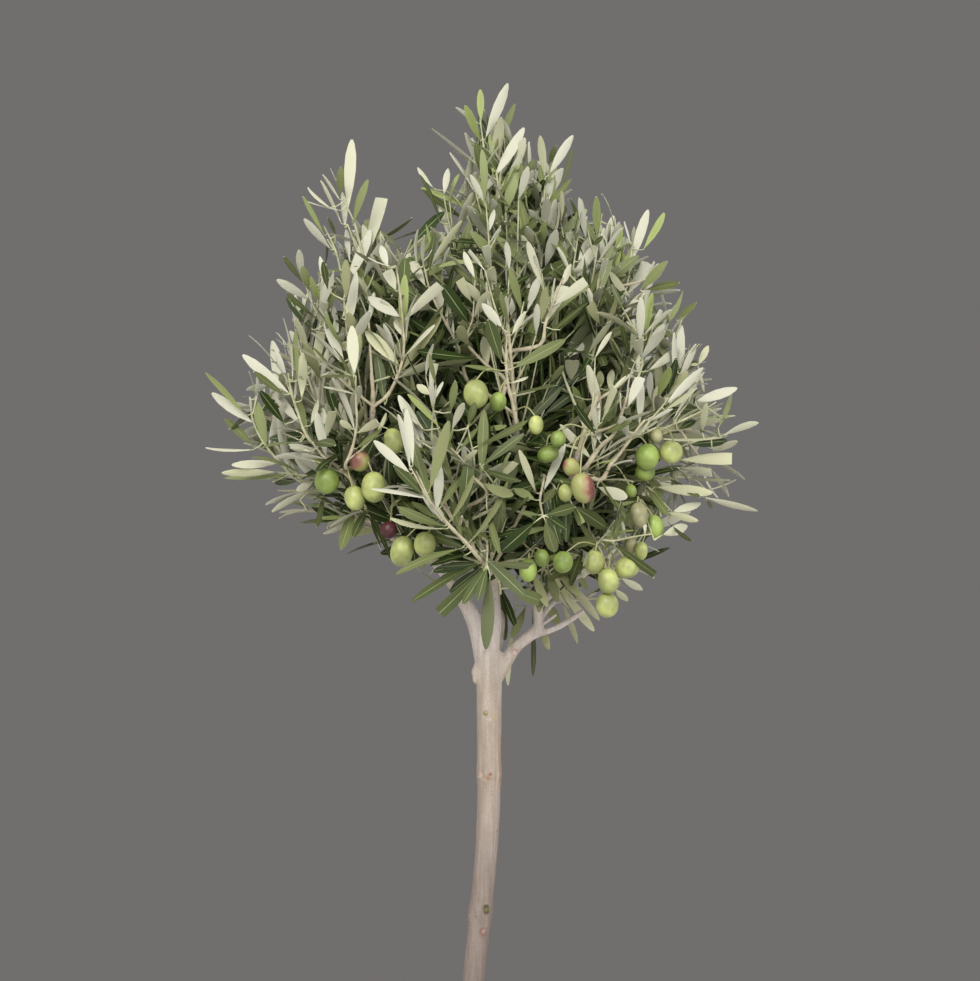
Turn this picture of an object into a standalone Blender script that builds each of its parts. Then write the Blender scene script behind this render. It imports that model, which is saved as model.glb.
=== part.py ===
"""A potted olive tree, trained as a young standard.

A filled clay pot carries a slim leaning trunk. The trunk forks into four limbs, the limbs carry side
boughs, and each main limb or bough ends in one mass of leafy, fruiting twigs.

Metres, +Z up. The origin is the centre of the pot's flat underside, and the front faces -Y.
Tables of places are in millimetres, as a gardener would measure the tree.
"""

import math
import random

import bmesh
import bpy
from mathutils import Vector

MM = 0.001
UP = Vector((0.0, 0.0, 1.0))
GAP = 0.3 * MM  # clearance between neighbouring solids

# Pot and soil
POT_HEIGHT = 0.240
POT_FOOT_RADIUS = 0.100
POT_BODY_RADIUS = 0.131  # just under the rim band
POT_RIM_RADIUS = 0.139
POT_RIM_BAND = 0.036
POT_WALL = 0.010
POT_FLOOR = 0.015
POT_EDGE = 0.003  # chamfer of the rim and the foot
POT_SIDES = 32
SOIL_BELOW_RIM = 0.025
SOIL_LEVEL = POT_HEIGHT - SOIL_BELOW_RIM

# Trunk
FORK_HEIGHT = 0.616
TRUNK_LEAN = 0.020  # how far the fork stands to the right of the foot
TRUNK_LEAN_DONE = 0.7  # share of the trunk's length over which it leans
TRUNK_SWAY = 0.004  # bow towards the back, half way up
TRUNK_FOOT_RADIUS = 0.0113
TRUNK_WAIST_RADIUS = 0.0104
TRUNK_FORK_RADIUS = 0.0124
FLARE_RADIUS = 0.0085  # how much wider the trunk is at the soil
FLARE_HEIGHT = 0.012
FLARE_RINGS = (0.0, 0.4, 1.0)  # of its height
TRUNK_SIDES = 12
TRUNK_STEP = 0.030
TRUNK_JOINTS = ((0.158, 0.0011), (0.292, 0.0010))  # old leaf joints: height above the soil, and swell
JOINT_LENGTH = 0.009
TRUNK_DOME = ((0.006, 0.92), (0.011, 0.62))  # rings over the fork: height above it, share of its radius
KNOT = (7.5, -5.0, 600.0)  # a healed bud on the trunk's left
KNOT_RADIUS = 0.0056
KNOT_STRETCH = 1.25
COLLAR = 0.060  # length of each limb that belongs to the fork

# Limbs and boughs: what each grows from, where on it (a share of its length) and its radius there,
# then the points that it passes, each with its radius. The last point is its tip. In millimetres.
LIMBS = {
    "limb_left": (
        ("trunk", 0.90, 8.6),
        ((8, -1, 646, 8.2), (-2, -4, 667, 6.6), (-16, -12, 688, 4.4), (-52, -32, 736, 3.9),
         (-94, -46, 798, 3.4), (-120, -52, 836, 2.8)),
    ),
    "limb_centre": (
        ("trunk", 0.92, 6.6),
        ((26, -3, 650, 5.6), (25, 0, 690, 5.0), (40, -4, 820, 4.2), (44, -6, 880, 3.7), (38, -4, 972, 3.0)),
    ),
    "limb_right": (
        ("trunk", 0.90, 7.2),
        ((46, 0, 627, 5.8), (66, -1, 645, 5.2), (66, -6, 690, 4.0), (84, -28, 742, 3.7),
         (116, -50, 790, 3.3), (134, -58, 814, 2.8)),
    ),
    "limb_back": (
        ("trunk", 0.92, 6.6),
        ((30, 20, 652, 6.0), (28, 50, 690, 4.6), (14, 92, 716, 3.0)),
    ),
    "bough_lower_left": (("limb_left", 0.49, 3.2), ((-60, -44, 724, 2.9), (-86, -56, 744, 2.6))),
    "bough_upper_left": (
        ("limb_left", 0.38, 4.2),
        ((-30, -18, 780, 3.8), (-54, -18, 860, 3.4), (-66, -22, 932, 2.8)),
    ),
    "bough_front_left": (("limb_left", 0.78, 3.4), ((-88, -76, 806, 3.0), (-85, -106, 846, 2.6))),
    "bough_back_left": (("limb_left", 0.34, 4.0), ((-24, 26, 730, 3.6), (-56, 62, 810, 2.8))),
    "bough_front_low": (("limb_centre", 0.22, 4.0), ((24, -54, 700, 3.4), (18, -112, 708, 2.8))),
    "bough_front_high": (("limb_centre", 0.42, 3.8), ((44, -52, 806, 3.2), (44, -102, 838, 2.8))),
    "bough_upper_right": (("limb_centre", 0.56, 3.8), ((70, -12, 858, 3.3), (104, -14, 904, 2.8))),
    "bough_back_top": (("limb_centre", 0.52, 3.8), ((34, 36, 856, 3.3), (26, 66, 918, 2.8))),
    "bough_lower_right": (("limb_right", 0.35, 3.6), ((92, -32, 690, 3.0), (118, -50, 702, 2.6))),
    "bough_front_right": (("limb_right", 0.70, 3.4), ((92, -84, 772, 3.0), (100, -116, 808, 2.6))),
    "bough_back_right": (("limb_right", 0.42, 3.8), ((74, 30, 738, 3.4), (84, 66, 800, 2.8))),
    "bough_low_back": (("limb_right", 0.30, 3.4), ((82, 24, 668, 2.9), (98, 48, 668, 2.4))),
    "pruned_stub": (("limb_right", 0.225, 3.4), ((84, -3, 645, 2.8), (110, -6, 661, 2.3))),
    "pruned_twig": (("limb_right", 0.255, 1.8), ((76, -8, 652, 1.5), (84, -11, 658, 1.3))),
}
LIMB_SIDES = 6
LIMB_STEP = 0.030

# Foliage: the bough that carries each mass, the centre and radius of the ball that it fills, its
# furthest reach, and its seed. Neighbouring balls are parted by the flat plane in which they cross.
MASSES = {
    "foliage_top": ("limb_centre", (34, 0, 1062), 105, (35, 0, 1166), 1),
    "foliage_upper_left": ("bough_upper_left", (-82, -22, 1006), 103, (-112, -22, 1102), 2),
    "foliage_upper_right": ("bough_upper_right", (130, -16, 960), 98, (172, -20, 1040), 3),
    "foliage_left": ("limb_left", (-154, -46, 862), 99, (-248, -50, 884), 4),
    "foliage_right": ("limb_right", (180, -42, 838), 98, (276, -42, 846), 5),
    "foliage_lower_left": ("bough_lower_left", (-122, -62, 782), 80, (-180, -66, 758), 6),
    "foliage_lower_right": ("bough_lower_right", (134, -60, 738), 94, (210, -72, 700), 7),
    "foliage_front_low": ("bough_front_low", (-18, -132, 754), 108, (-62, -202, 820), 8),
    "foliage_front_high": ("bough_front_high", (28, -136, 906), 104, (30, -172, 1002), 9),
    "foliage_front_left": ("bough_front_left", (-84, -124, 884), 100, (-92, -158, 976), 10),
    "foliage_front_right": ("bough_front_right", (124, -126, 866), 98, (150, -166, 950), 11),
    "foliage_back_top": ("bough_back_top", (20, 112, 952), 112, (30, 150, 1056), 12),
    "foliage_back_left": ("bough_back_left", (-100, 106, 876), 112, (-178, 154, 936), 13),
    "foliage_back_right": ("bough_back_right", (126, 110, 870), 112, (204, 154, 926), 14),
    "foliage_back_low": ("limb_back", (8, 136, 768), 104, (4, 226, 812), 15),
    "foliage_low_back": ("bough_low_back", (96, 56, 706), 86, (130, 74, 630), 16),
}
TWIG_SIDES = 3
STEM_RADII = (2.4 * MM, 1.0 * MM)  # at its root and tip
STEM_STRAIGHT = 0.005  # from its root, square to the end of its bough
STEM_STEPS = 4
LATERAL_RADII = (1.5 * MM, 0.8 * MM)
BALL_PER_LATERAL = 0.015  # of a ball's radius: wider balls have more laterals
LATERAL_SHARES = (0.08, 0.86)  # of the stem, where the first and last lateral leave it
LATERAL_LENGTHS = (0.92, 0.60)  # of the ball's radius, for the first and last lateral
LATERAL_VARIES = (0.85, 1.10)
LATERAL_SPREAD = (36.0, 60.0)  # degrees from the stem
LATERAL_TURN = 0.4  # at most, either way, from the golden angle
LATERAL_MARGIN = 0.022  # to the edge of its space, for its leaves to reach over
LATERAL_TRIES = (1.0, 0.8, 0.6, 0.45)  # of its length, until it keeps to its space
LATERAL_CROTCH = 0.012  # of its length, which may be close to a limb
LIFT_LEVEL = 0.74  # laterals above this height turn upwards, and those below it droop
LIFT_RATE = 2.0  # per metre
LIFT_LIMITS = (-0.25, 0.55)
GOLDEN_ANGLE = math.radians(137.5)

LEAF_LENGTH = 0.078  # a third larger than life, because there are fewer than on the tree
LEAF_VARIES = (0.78, 1.04)
LEAF_WIDTH = 0.27  # of its length
LEAF_HOLLOW = 0.022  # how far its edges lie above its midrib, of its length
LEAF_WIDEST = 0.52  # of its length
LEAF_SPREAD = (28.0, 52.0)  # degrees from the twig
LEAF_TRIES = ((1.0, 1.0), (0.5, 1.0), (1.0, 0.75), (0.5, 0.75))  # of its spread and its length
LEAF_APART = 0.005  # between the midribs of two leaves, past their stalks
LEAF_STALK = 0.3  # of its length
LEAF_SHORT = 0.15 * MM  # how far its root lies short of the twig's centre line
TIP_LEAF = 0.9  # length of the leaf at a twig's tip, of a leaf's length
PAIR_SPACING = 0.024
PAIR_TURN = 0.25  # at most, either way, from a right angle
LAST_LEAF = 0.97  # of the twig, where the leaf at its tip sits
FIRST_LEAF = {"stem": 0.40, "lateral": 0.20}  # of the twig, where its first pair sits

# Fruit, the front ones first. Each hangs from the nearest twig of its mass.
FRUIT = (
    (14, -196, 868), (36, -170, 852), (68, -176, 838), (84, -170, 822), (98, -178, 796),
    (108, -190, 772), (170, -110, 802), (190, -92, 806), (176, -118, 782), (166, -108, 750),
    (178, -88, 738), (158, -98, 702), (134, -112, 706), (140, -118, 686), (144, -112, 664),
    (76, -146, 702), (-124, -108, 782), (-98, -120, 800), (-86, -128, 776), (-66, -168, 820),
    (-66, -110, 736), (-58, -126, 716), (-36, -142, 724), (-130, 150, 836), (-60, 190, 770),
    (70, 196, 812), (160, 158, 826),
)
FRUIT_RADIUS = 0.0112
FRUIT_STRETCH = 1.25
FRUIT_SETTLES = 20  # rounds of moving a fruit in from the edge of its space
STALK_RADIUS = 0.7 * MM
STALK_LONGEST = 0.055
STALK_SPOTS = 12  # places on each twig that a stalk may hang from
BALL_SIDES, BALL_RINGS = 6, 4

COLOURS = {  # base colour and roughness
    "clay": ((0.46, 0.19, 0.10), 0.85),
    "soil": ((0.045, 0.030, 0.020), 0.95),
    "bark": ((0.45, 0.38, 0.31), 0.80),
    "leaf": ((0.16, 0.20, 0.10), 0.55),
    "fruit": ((0.25, 0.33, 0.06), 0.40),
}
SHARP_DEGREES = 40.0  # between faces that aren't shaded as one


# ------------------------------------------------------------------ meshes


def material(name):
    """The named material, made when it is first asked for."""
    found = bpy.data.materials.get(name)
    if found:
        return found
    colour, roughness = COLOURS[name]
    made = bpy.data.materials.new(name)
    made.use_nodes = True
    shader = made.node_tree.nodes["Principled BSDF"]
    shader.inputs["Base Color"].default_value = (*colour, 1.0)
    shader.inputs["Roughness"].default_value = roughness
    shader.inputs["Metallic"].default_value = 0.0
    return made


def add_object(name, shape, material_name):
    """A mesh object from a bmesh, with its normals pointing out. Frees the bmesh."""
    bmesh.ops.recalc_face_normals(shape, faces=shape.faces)
    mesh = bpy.data.meshes.new(name)
    shape.to_mesh(mesh)
    shape.free()
    mesh.materials.append(material(material_name))
    made = bpy.data.objects.new(name, mesh)
    bpy.context.scene.collection.objects.link(made)
    return made


def add_faces(name, points, faces, material_name):
    """A mesh object from points and faces."""
    shape = bmesh.new()
    corners = [shape.verts.new(point) for point in points]
    for face in faces:
        shape.faces.new([corners[i] for i in face])
    return add_object(name, shape, material_name)


def shade_round(made):
    made.data.shade_smooth()
    made.data.set_sharp_from_angle(angle=math.radians(SHARP_DEGREES))


def ball(name, centre, radius, stretch, material_name):
    """A ball of few faces, stretched along Z."""
    shape = bmesh.new()
    bmesh.ops.create_uvsphere(shape, u_segments=BALL_SIDES, v_segments=BALL_RINGS, radius=radius)
    bmesh.ops.scale(shape, vec=(1.0, 1.0, stretch), verts=shape.verts)
    bmesh.ops.translate(shape, vec=centre, verts=shape.verts)
    return add_object(name, shape, material_name)


# ------------------------------------------------------------------ pot and soil


def turned(name, profile, material_name):
    """A solid of revolution about Z. The profile runs from the axis out and back to the axis."""
    points, rings = [], []
    for radius, height in profile:
        rings.append(len(points))
        for side in range(POT_SIDES if radius else 1):
            angle = math.tau * side / POT_SIDES
            points.append((radius * math.cos(angle), radius * math.sin(angle), height))
    faces = []
    for ring in range(len(profile) - 1):
        low, high = rings[ring], rings[ring + 1]
        for side in range(POT_SIDES):
            after = (side + 1) % POT_SIDES
            if profile[ring][0] == 0.0:
                faces.append((low, high + side, high + after))
            elif profile[ring + 1][0] == 0.0:
                faces.append((low + side, low + after, high))
            else:
                faces.append((low + side, low + after, high + after, high + side))
    shade_round(add_faces(name, points, faces, material_name))


def pot_radius(height):
    """Radius of the pot's straight outer taper at a height."""
    return POT_FOOT_RADIUS + (POT_BODY_RADIUS - POT_FOOT_RADIUS) * height / (POT_HEIGHT - POT_RIM_BAND)


def make_pot():
    band = POT_HEIGHT - POT_RIM_BAND
    turned(
        "pot",
        (
            (0.0, 0.0),
            (POT_FOOT_RADIUS - POT_EDGE, 0.0),
            (pot_radius(POT_EDGE), POT_EDGE),
            (POT_BODY_RADIUS, band),
            (POT_RIM_RADIUS - POT_EDGE, band),
            (POT_RIM_RADIUS, band + POT_EDGE),
            (POT_RIM_RADIUS, POT_HEIGHT - POT_EDGE),
            (POT_RIM_RADIUS - POT_EDGE, POT_HEIGHT),
            (pot_radius(POT_HEIGHT) - POT_WALL + POT_EDGE, POT_HEIGHT),
            (pot_radius(POT_HEIGHT - POT_EDGE) - POT_WALL, POT_HEIGHT - POT_EDGE),
            (pot_radius(POT_FLOOR) - POT_WALL, POT_FLOOR),
            (0.0, POT_FLOOR),
        ),
        "clay",
    )


def make_soil():
    foot = POT_FLOOR + GAP
    turned(
        "soil",
        (
            (0.0, foot),
            (pot_radius(foot) - POT_WALL - GAP, foot),
            (pot_radius(SOIL_LEVEL) - POT_WALL - GAP, SOIL_LEVEL),
            (0.0, SOIL_LEVEL),
        ),
        "soil",
    )


# ------------------------------------------------------------------ lines: lists of (point, radius)


def smoothstep(share):
    share = min(max(share, 0.0), 1.0)
    return share * share * (3.0 - 2.0 * share)


def through(stops, step):
    """A line with a point about every step on the smooth Catmull-Rom curve through the stops."""
    points = [point for point, _ in stops]
    ends = [2 * points[0] - points[1], *points, 2 * points[-1] - points[-2]]
    found = [stops[0]]
    for i in range(len(stops) - 1):
        before, start, end, after = ends[i : i + 4]
        count = max(1, round((end - start).length / step))
        for part in range(1, count + 1):
            t = part / count
            bend = (2 * before - 5 * start + 4 * end - after) * t**2
            bend += (3 * start - before - 3 * end + after) * t**3
            radius = stops[i][1] + (stops[i + 1][1] - stops[i][1]) * t
            found.append(((2 * start + (end - before) * t + bend) / 2, radius))
    return found


def tapered(points, first, last):
    """A line whose radius goes evenly from first to last."""
    most = len(points) - 1
    return [(point, first + (last - first) * i / most) for i, point in enumerate(points)]


def direction_at(line, index):
    before, after = max(index - 1, 0), min(index + 1, len(line) - 1)
    return (line[after][0] - line[before][0]).normalized()


def place_on(line, share):
    """(point, direction, radius) at a share of the line's length."""
    steps = [(b[0] - a[0]).length for a, b in zip(line, line[1:])]
    left, index = share * sum(steps), 0
    while left > steps[index] and index < len(steps) - 1:
        left -= steps[index]
        index += 1
    (start, thick), (end, thin) = line[index], line[index + 1]
    part = left / steps[index]
    return start.lerp(end, part), (end - start).normalized(), thick + (thin - thick) * part


def split_at(line, length):
    """The line up to that length, and what follows it from a gap further on."""
    run = 0.0
    for index in range(1, len(line)):
        (start, thick), (end, thin) = line[index - 1], line[index]
        step = (end - start).length
        if run + step > length:
            part = (length - run) / step
            middle, radius = start.lerp(end, part), thick + (thin - thick) * part
            further = middle + (end - start).normalized() * GAP
            return [*line[:index], (middle, radius)], [(further, radius), *line[index:]]
        run += step
    raise ValueError("the line is shorter than the length")


def across(direction):
    """Two unit vectors square to a direction and to each other."""
    side = direction.cross(UP)
    if side.length < 0.1:
        side = direction.cross(Vector((1.0, 0.0, 0.0)))
    side.normalize()
    return side, direction.cross(side)


def tube(name, line, sides, material_name):
    """A closed tube along the line, whose rings turn as little as they can."""
    side = across(direction_at(line, 0))[0]
    points = []
    for index, (centre, radius) in enumerate(line):
        along = direction_at(line, index)
        side = (side - along * side.dot(along)).normalized()
        other = along.cross(side)
        for i in range(sides):
            angle = math.tau * i / sides
            points.append(centre + (side * math.cos(angle) + other * math.sin(angle)) * radius)
    faces = [tuple(range(sides)), tuple(range(len(points) - sides, len(points)))]
    for low in range(0, len(points) - sides, sides):
        for i in range(sides):
            j = (i + 1) % sides
            faces.append((low + i, low + j, low + sides + j, low + sides + i))
    return add_faces(name, points, faces, material_name)


# ------------------------------------------------------------------ joining and cutting


def volume(faces):
    """Volume inside a closed set of triangles: negative where they face inwards."""
    corners = ([corner.co for corner in face.verts] for face in faces)
    return sum(a.dot(b.cross(c)) for a, b, c in corners) / 6.0


def bodies_of(shape):
    """The faces of a bmesh in lists, one for each body that hangs together."""
    left, bodies = set(shape.faces), []
    while left:
        todo, body = [left.pop()], []
        while todo:
            face = todo.pop()
            body.append(face)
            near = {other for edge in face.edges for other in edge.link_faces} & left
            left -= near
            todo += near
        bodies.append(body)
    return bodies


def apply_modifiers(made):
    """Applies the object's modifiers, and drops all but its largest body: the others are scraps
    that came loose, or hollows that were sealed."""
    graph = bpy.context.evaluated_depsgraph_get()
    mesh = bpy.data.meshes.new_from_object(made.evaluated_get(graph))
    shape = bmesh.new()
    shape.from_mesh(mesh)
    bmesh.ops.triangulate(shape, faces=shape.faces)
    bodies = sorted(bodies_of(shape), key=volume)
    scraps = [face for body in bodies[:-1] for face in body]
    bmesh.ops.delete(shape, geom=scraps, context="FACES")
    shape.to_mesh(mesh)
    shape.free()
    made.modifiers.clear()
    made.data = mesh


def fuse(made, parts):
    """Joins the parts to the object by one Boolean union on their collection, and removes them."""
    group = bpy.data.collections.new(made.name + "_parts")
    bpy.context.scene.collection.children.link(group)
    for part in parts:
        bpy.context.scene.collection.objects.unlink(part)
        group.objects.link(part)
    union = made.modifiers.new("union", "BOOLEAN")
    union.operation = "UNION"
    union.solver = "MANIFOLD"
    union.operand_type = "COLLECTION"
    union.collection = group
    apply_modifiers(made)
    for part in parts:
        bpy.data.objects.remove(part)
    bpy.data.collections.remove(group)


def cut_clear(made, line, sides):
    """Cuts the object back to a gap from the tube along the line."""
    fat = [(point, radius + GAP) for point, radius in line]
    fat[0] = (fat[0][0] - direction_at(line, 0) * GAP, fat[0][1])
    fat[-1] = (fat[-1][0] + direction_at(line, len(line) - 1) * GAP, fat[-1][1])
    cutter = tube("cutter", fat, sides, "bark")
    cutter.hide_render = True
    cutter.display_type = "WIRE"
    cut = made.modifiers.new("seat", "BOOLEAN")
    cut.operation = "DIFFERENCE"
    cut.solver = "EXACT"
    cut.object = cutter
    apply_modifiers(made)
    bpy.data.objects.remove(cutter)


# ------------------------------------------------------------------ trunk and limbs


def trunk_radius(height):
    """Radius at a height above the soil: a slight waist, the root flare and the old leaf joints."""
    share = height / (FORK_HEIGHT - SOIL_LEVEL)
    below, above = (1 - share) ** 2, share**2
    middle = 2 * TRUNK_WAIST_RADIUS - (TRUNK_FOOT_RADIUS + TRUNK_FORK_RADIUS) / 2
    radius = below * TRUNK_FOOT_RADIUS + (1 - below - above) * middle + above * TRUNK_FORK_RADIUS
    radius += FLARE_RADIUS * math.exp(-height / FLARE_HEIGHT)
    for joint, swell in TRUNK_JOINTS:
        radius += swell * math.exp(-(((height - joint) / JOINT_LENGTH) ** 2))
    return radius


def trunk_line():
    """The trunk from its flat cut on the soil to the dome inside its fork."""
    length = FORK_HEIGHT - SOIL_LEVEL
    steps = round(length / TRUNK_STEP)
    heights = [FLARE_HEIGHT * share for share in FLARE_RINGS]
    heights += [length * i / steps for i in range(1, steps + 1)]
    line = []
    for height in heights:
        share = height / length
        x = TRUNK_LEAN * smoothstep(share / TRUNK_LEAN_DONE)
        y = TRUNK_SWAY * math.sin(math.pi * share) ** 2
        line.append((Vector((x, y, SOIL_LEVEL + GAP + height)), trunk_radius(height)))
    fork, radius = line[-1]
    return line + [(fork + UP * above, radius * share) for above, share in TRUNK_DOME]


def limb_line(spec, lines):
    """A limb's line from inside what it grows from to its tip."""
    (parent, share, radius), stops = spec
    root = place_on(lines[parent], share)[0], radius * MM
    return through([root, *((Vector(stop[:3]) * MM, stop[3] * MM) for stop in stops)], LIMB_STEP)


def make_limbs():
    """The trunk with its fork, the limbs and the boughs. Returns each one's line."""
    lines = {"trunk": trunk_line()}
    for name, spec in LIMBS.items():
        lines[name] = limb_line(spec, lines)
    trunk = tube("trunk", lines["trunk"], TRUNK_SIDES, "bark")
    fork = [ball("knot", Vector(KNOT) * MM, KNOT_RADIUS, KNOT_STRETCH, "bark")]
    pieces = {}
    for name, ((parent, _, _), _) in LIMBS.items():
        pieces[name] = (lines[name],)
        if parent == "trunk":
            pieces[name] = split_at(lines[name], COLLAR)
            fork.append(tube("collar", pieces[name][0], LIMB_SIDES, "bark"))
        limb = tube(name, pieces[name][-1], LIMB_SIDES, "bark")
        for piece in pieces.get(parent, ()):
            cut_clear(limb, piece, LIMB_SIDES)
        shade_round(limb)
    fuse(trunk, fork)
    shade_round(trunk)
    return lines


# ------------------------------------------------------------------ foliage


def segment_distance(a, b, c, d):
    """The distance between the segments ab and cd."""
    u, v, w = b - a, d - c, a - c
    uu, uv, vv, uw, vw = u.dot(u), u.dot(v), v.dot(v), u.dot(w), v.dot(w)
    slant = uu * vv - uv * uv
    s = min(max((uv * vw - vv * uw) / slant, 0.0), 1.0) if slant > 1e-18 else 0.0
    t = min(max((uv * s + vw) / vv, 0.0), 1.0)
    s = min(max((uv * t - uw) / uu, 0.0), 1.0)
    return (w + u * s - v * t).length


class Space:
    """The part of the crown that one mass keeps to: its ball, short of the planes in which the
    balls round it cross it, and clear of every limb and every other mass's stem."""

    def __init__(self, name, lines, stems):
        self.centre = Vector(MASSES[name][1]) * MM
        self.radius = MASSES[name][2] * MM
        self.planes = []
        for other, (_, centre, radius, _, _) in MASSES.items():
            if other != name:
                apart = Vector(centre) * MM - self.centre
                share = (self.radius**2 - (radius * MM) ** 2) / apart.length_squared
                self.planes.append((apart.normalized(), apart.length * (1 + share) / 2))
        others = [stem for other, stem in stems.items() if other != name]
        self.limbs = [
            (start[0], end[0], max(start[1], end[1]))
            for line in [*lines.values(), *others]
            for start, end in zip(line, line[1:])
            if (start[0] - self.centre).length < 2 * self.radius
        ]

    def room(self, point):
        """How far the point is inside the ball and the planes: negative outside."""
        offset = point - self.centre
        return min([self.radius - offset.length] + [far - offset.dot(way) for way, far in self.planes])

    def holds(self, points, margin=GAP):
        return all(self.room(point) > margin for point in points)

    def clear_of_limbs(self, start, end, reach):
        """Whether a part of that half width from start to end stays clear of the limbs."""
        return all(segment_distance(start, end, a, b) > thick + reach + GAP for a, b, thick in self.limbs)


def leaning(way, azimuth, degrees):
    """A direction that many degrees from way, on the side that the azimuth names."""
    side, other = across(way)
    angle = math.radians(degrees)
    return way * math.cos(angle) + (side * math.cos(azimuth) + other * math.sin(azimuth)) * math.sin(angle)


def stem_line(name, lines):
    """A mass's stem: it leaves its bough the way the bough points, and bends towards its reach,
    which the leaf at its tip then touches."""
    bough, _, _, reach, _ = MASSES[name]
    line = lines[bough]
    way = (line[-1][0] - line[-2][0]).normalized()
    root = line[-1][0] + way * GAP
    start = root + way * STEM_STRAIGHT
    reach = Vector(reach) * MM
    tip = reach - (reach - start).normalized() * LEAF_LENGTH * TIP_LEAF
    points = [root, start]
    for i in range(1, STEM_STEPS + 1):
        t = i / STEM_STEPS
        points.append(start + (tip - start) * t * t * (2 - t) + way * (tip - start).length * t * (1 - t) ** 2)
    return tapered(points, min(STEM_RADII[0], line[-1][1]), STEM_RADII[1])


def lateral_lines(name, stem, space):
    """The laterals of a stem: spread round it by the golden angle, high ones turning upwards and
    low ones drooping, and shortened until they keep to the space."""
    rng = random.Random(MASSES[name][4])
    count = round(space.radius / BALL_PER_LATERAL)
    found = []
    for i in range(count):
        part = i / (count - 1)
        share = LATERAL_SHARES[0] + (LATERAL_SHARES[1] - LATERAL_SHARES[0]) * part
        full = LATERAL_LENGTHS[0] + (LATERAL_LENGTHS[1] - LATERAL_LENGTHS[0]) * part
        start, way, _ = place_on(stem, share)
        azimuth = GOLDEN_ANGLE * i + rng.uniform(-LATERAL_TURN, LATERAL_TURN)
        out = leaning(way, azimuth, rng.uniform(*LATERAL_SPREAD))
        full *= space.radius * rng.uniform(*LATERAL_VARIES)
        lift = min(max((start.z - LIFT_LEVEL) * LIFT_RATE, LIFT_LIMITS[0]), LIFT_LIMITS[1])
        for shorter in LATERAL_TRIES:
            elbow = start + out * full * shorter / 2
            end = elbow + (out + UP * lift).normalized() * full * shorter / 2
            free = space.clear_of_limbs(start + out * LATERAL_CROTCH, elbow, LATERAL_RADII[0])
            free = free and space.clear_of_limbs(elbow, end, LATERAL_RADII[0])
            if free and space.holds((elbow, end), LATERAL_MARGIN):
                found.append(tapered([start, elbow, end], *LATERAL_RADII))
                break
    return found


def leaf_points(root, way, face, length):
    """The four corners of a leaf: root, tip and two edges. The edges lie above the line from root
    to tip, which is the midrib, so the leaf is keeled below and a little hollow above."""
    edge = way.cross(face).normalized()
    widest = root + way * length * LEAF_WIDEST + edge.cross(way) * length * LEAF_HOLLOW
    half = edge * length * LEAF_WIDTH / 2
    return [root, root + way * length, widest + half, widest - half]


LEAF_FACES = ((0, 1, 2), (1, 0, 3), (0, 2, 3), (2, 1, 3))


def leaves_on(line, first, rng, space, taken):
    """Corner lists of the leaves on a twig: one at its tip and opposite pairs down to the first
    share of its length, each pair square to the next. A leaf that would leave the space, touch a
    limb or cross what is taken is drawn in, and left out where that doesn't help."""
    length = sum((b[0] - a[0]).length for a, b in zip(line, line[1:]))
    pairs = max(1, round(length * (1 - first) / PAIR_SPACING))
    turn = rng.uniform(0.0, math.pi)
    found = []
    for pair in range(pairs + 1):
        point, way, _ = place_on(line, LAST_LEAF - (LAST_LEAF - first) * pair / pairs)
        face = way if pair else across(way)[1]
        for azimuth in (turn, turn + math.pi) if pair else (turn,):
            full = LEAF_LENGTH * (rng.uniform(*LEAF_VARIES) if pair else TIP_LEAF)
            spread = rng.uniform(*LEAF_SPREAD) if pair else 0.0
            for drawn_in, shorter in LEAF_TRIES:
                out = leaning(way, azimuth, spread * drawn_in)
                corners = leaf_points(point + out * LEAF_SHORT, out, face, full * shorter)
                root, tip = corners[:2]
                blade = root.lerp(tip, LEAF_STALK), tip
                if (
                    space.holds(corners)
                    and space.clear_of_limbs(root, tip, full * shorter * LEAF_WIDTH / 2)
                    and all(segment_distance(*blade, a, b) > reach for a, b, reach in taken)
                ):
                    found.append(corners)
                    taken.append((*blade, LEAF_APART))
                    break
        turn += math.pi / 2 + rng.uniform(-PAIR_TURN, PAIR_TURN)
    return found


def fruit_places(space):
    """The fruit that lies in this space, moved in until it is clear of the space's edge."""
    reach = FRUIT_RADIUS * FRUIT_STRETCH + 2 * GAP
    found = []
    for place in FRUIT:
        offset = Vector(place) * MM - space.centre
        if space.room(space.centre + offset) < 0.0:
            continue
        for _ in range(FRUIT_SETTLES):
            offset *= min(1.0, (space.radius - reach) / offset.length)
            for way, far in space.planes:
                offset -= way * max(0.0, offset.dot(way) - far + reach)
        found.append(space.centre + offset)
    return found


def fruit_parts(centre, twigs):
    """An olive and the stalk that it hangs by from the nearest twig, if one is near enough."""
    top = centre + UP * FRUIT_RADIUS
    spots = [place_on(line, (i + 1) / STALK_SPOTS)[0] for line in twigs for i in range(STALK_SPOTS)]
    spot = min(spots, key=lambda place: (place - top).length + max(0.0, top.z - place.z))
    if (spot - top).length > STALK_LONGEST:
        return []
    stalk = tapered([spot, centre.lerp(top, 0.6)], STALK_RADIUS, STALK_RADIUS)
    olive = ball("olive", centre, FRUIT_RADIUS, FRUIT_STRETCH, "fruit")
    return [olive, tube("stalk", stalk, TWIG_SIDES, "fruit")]


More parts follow.
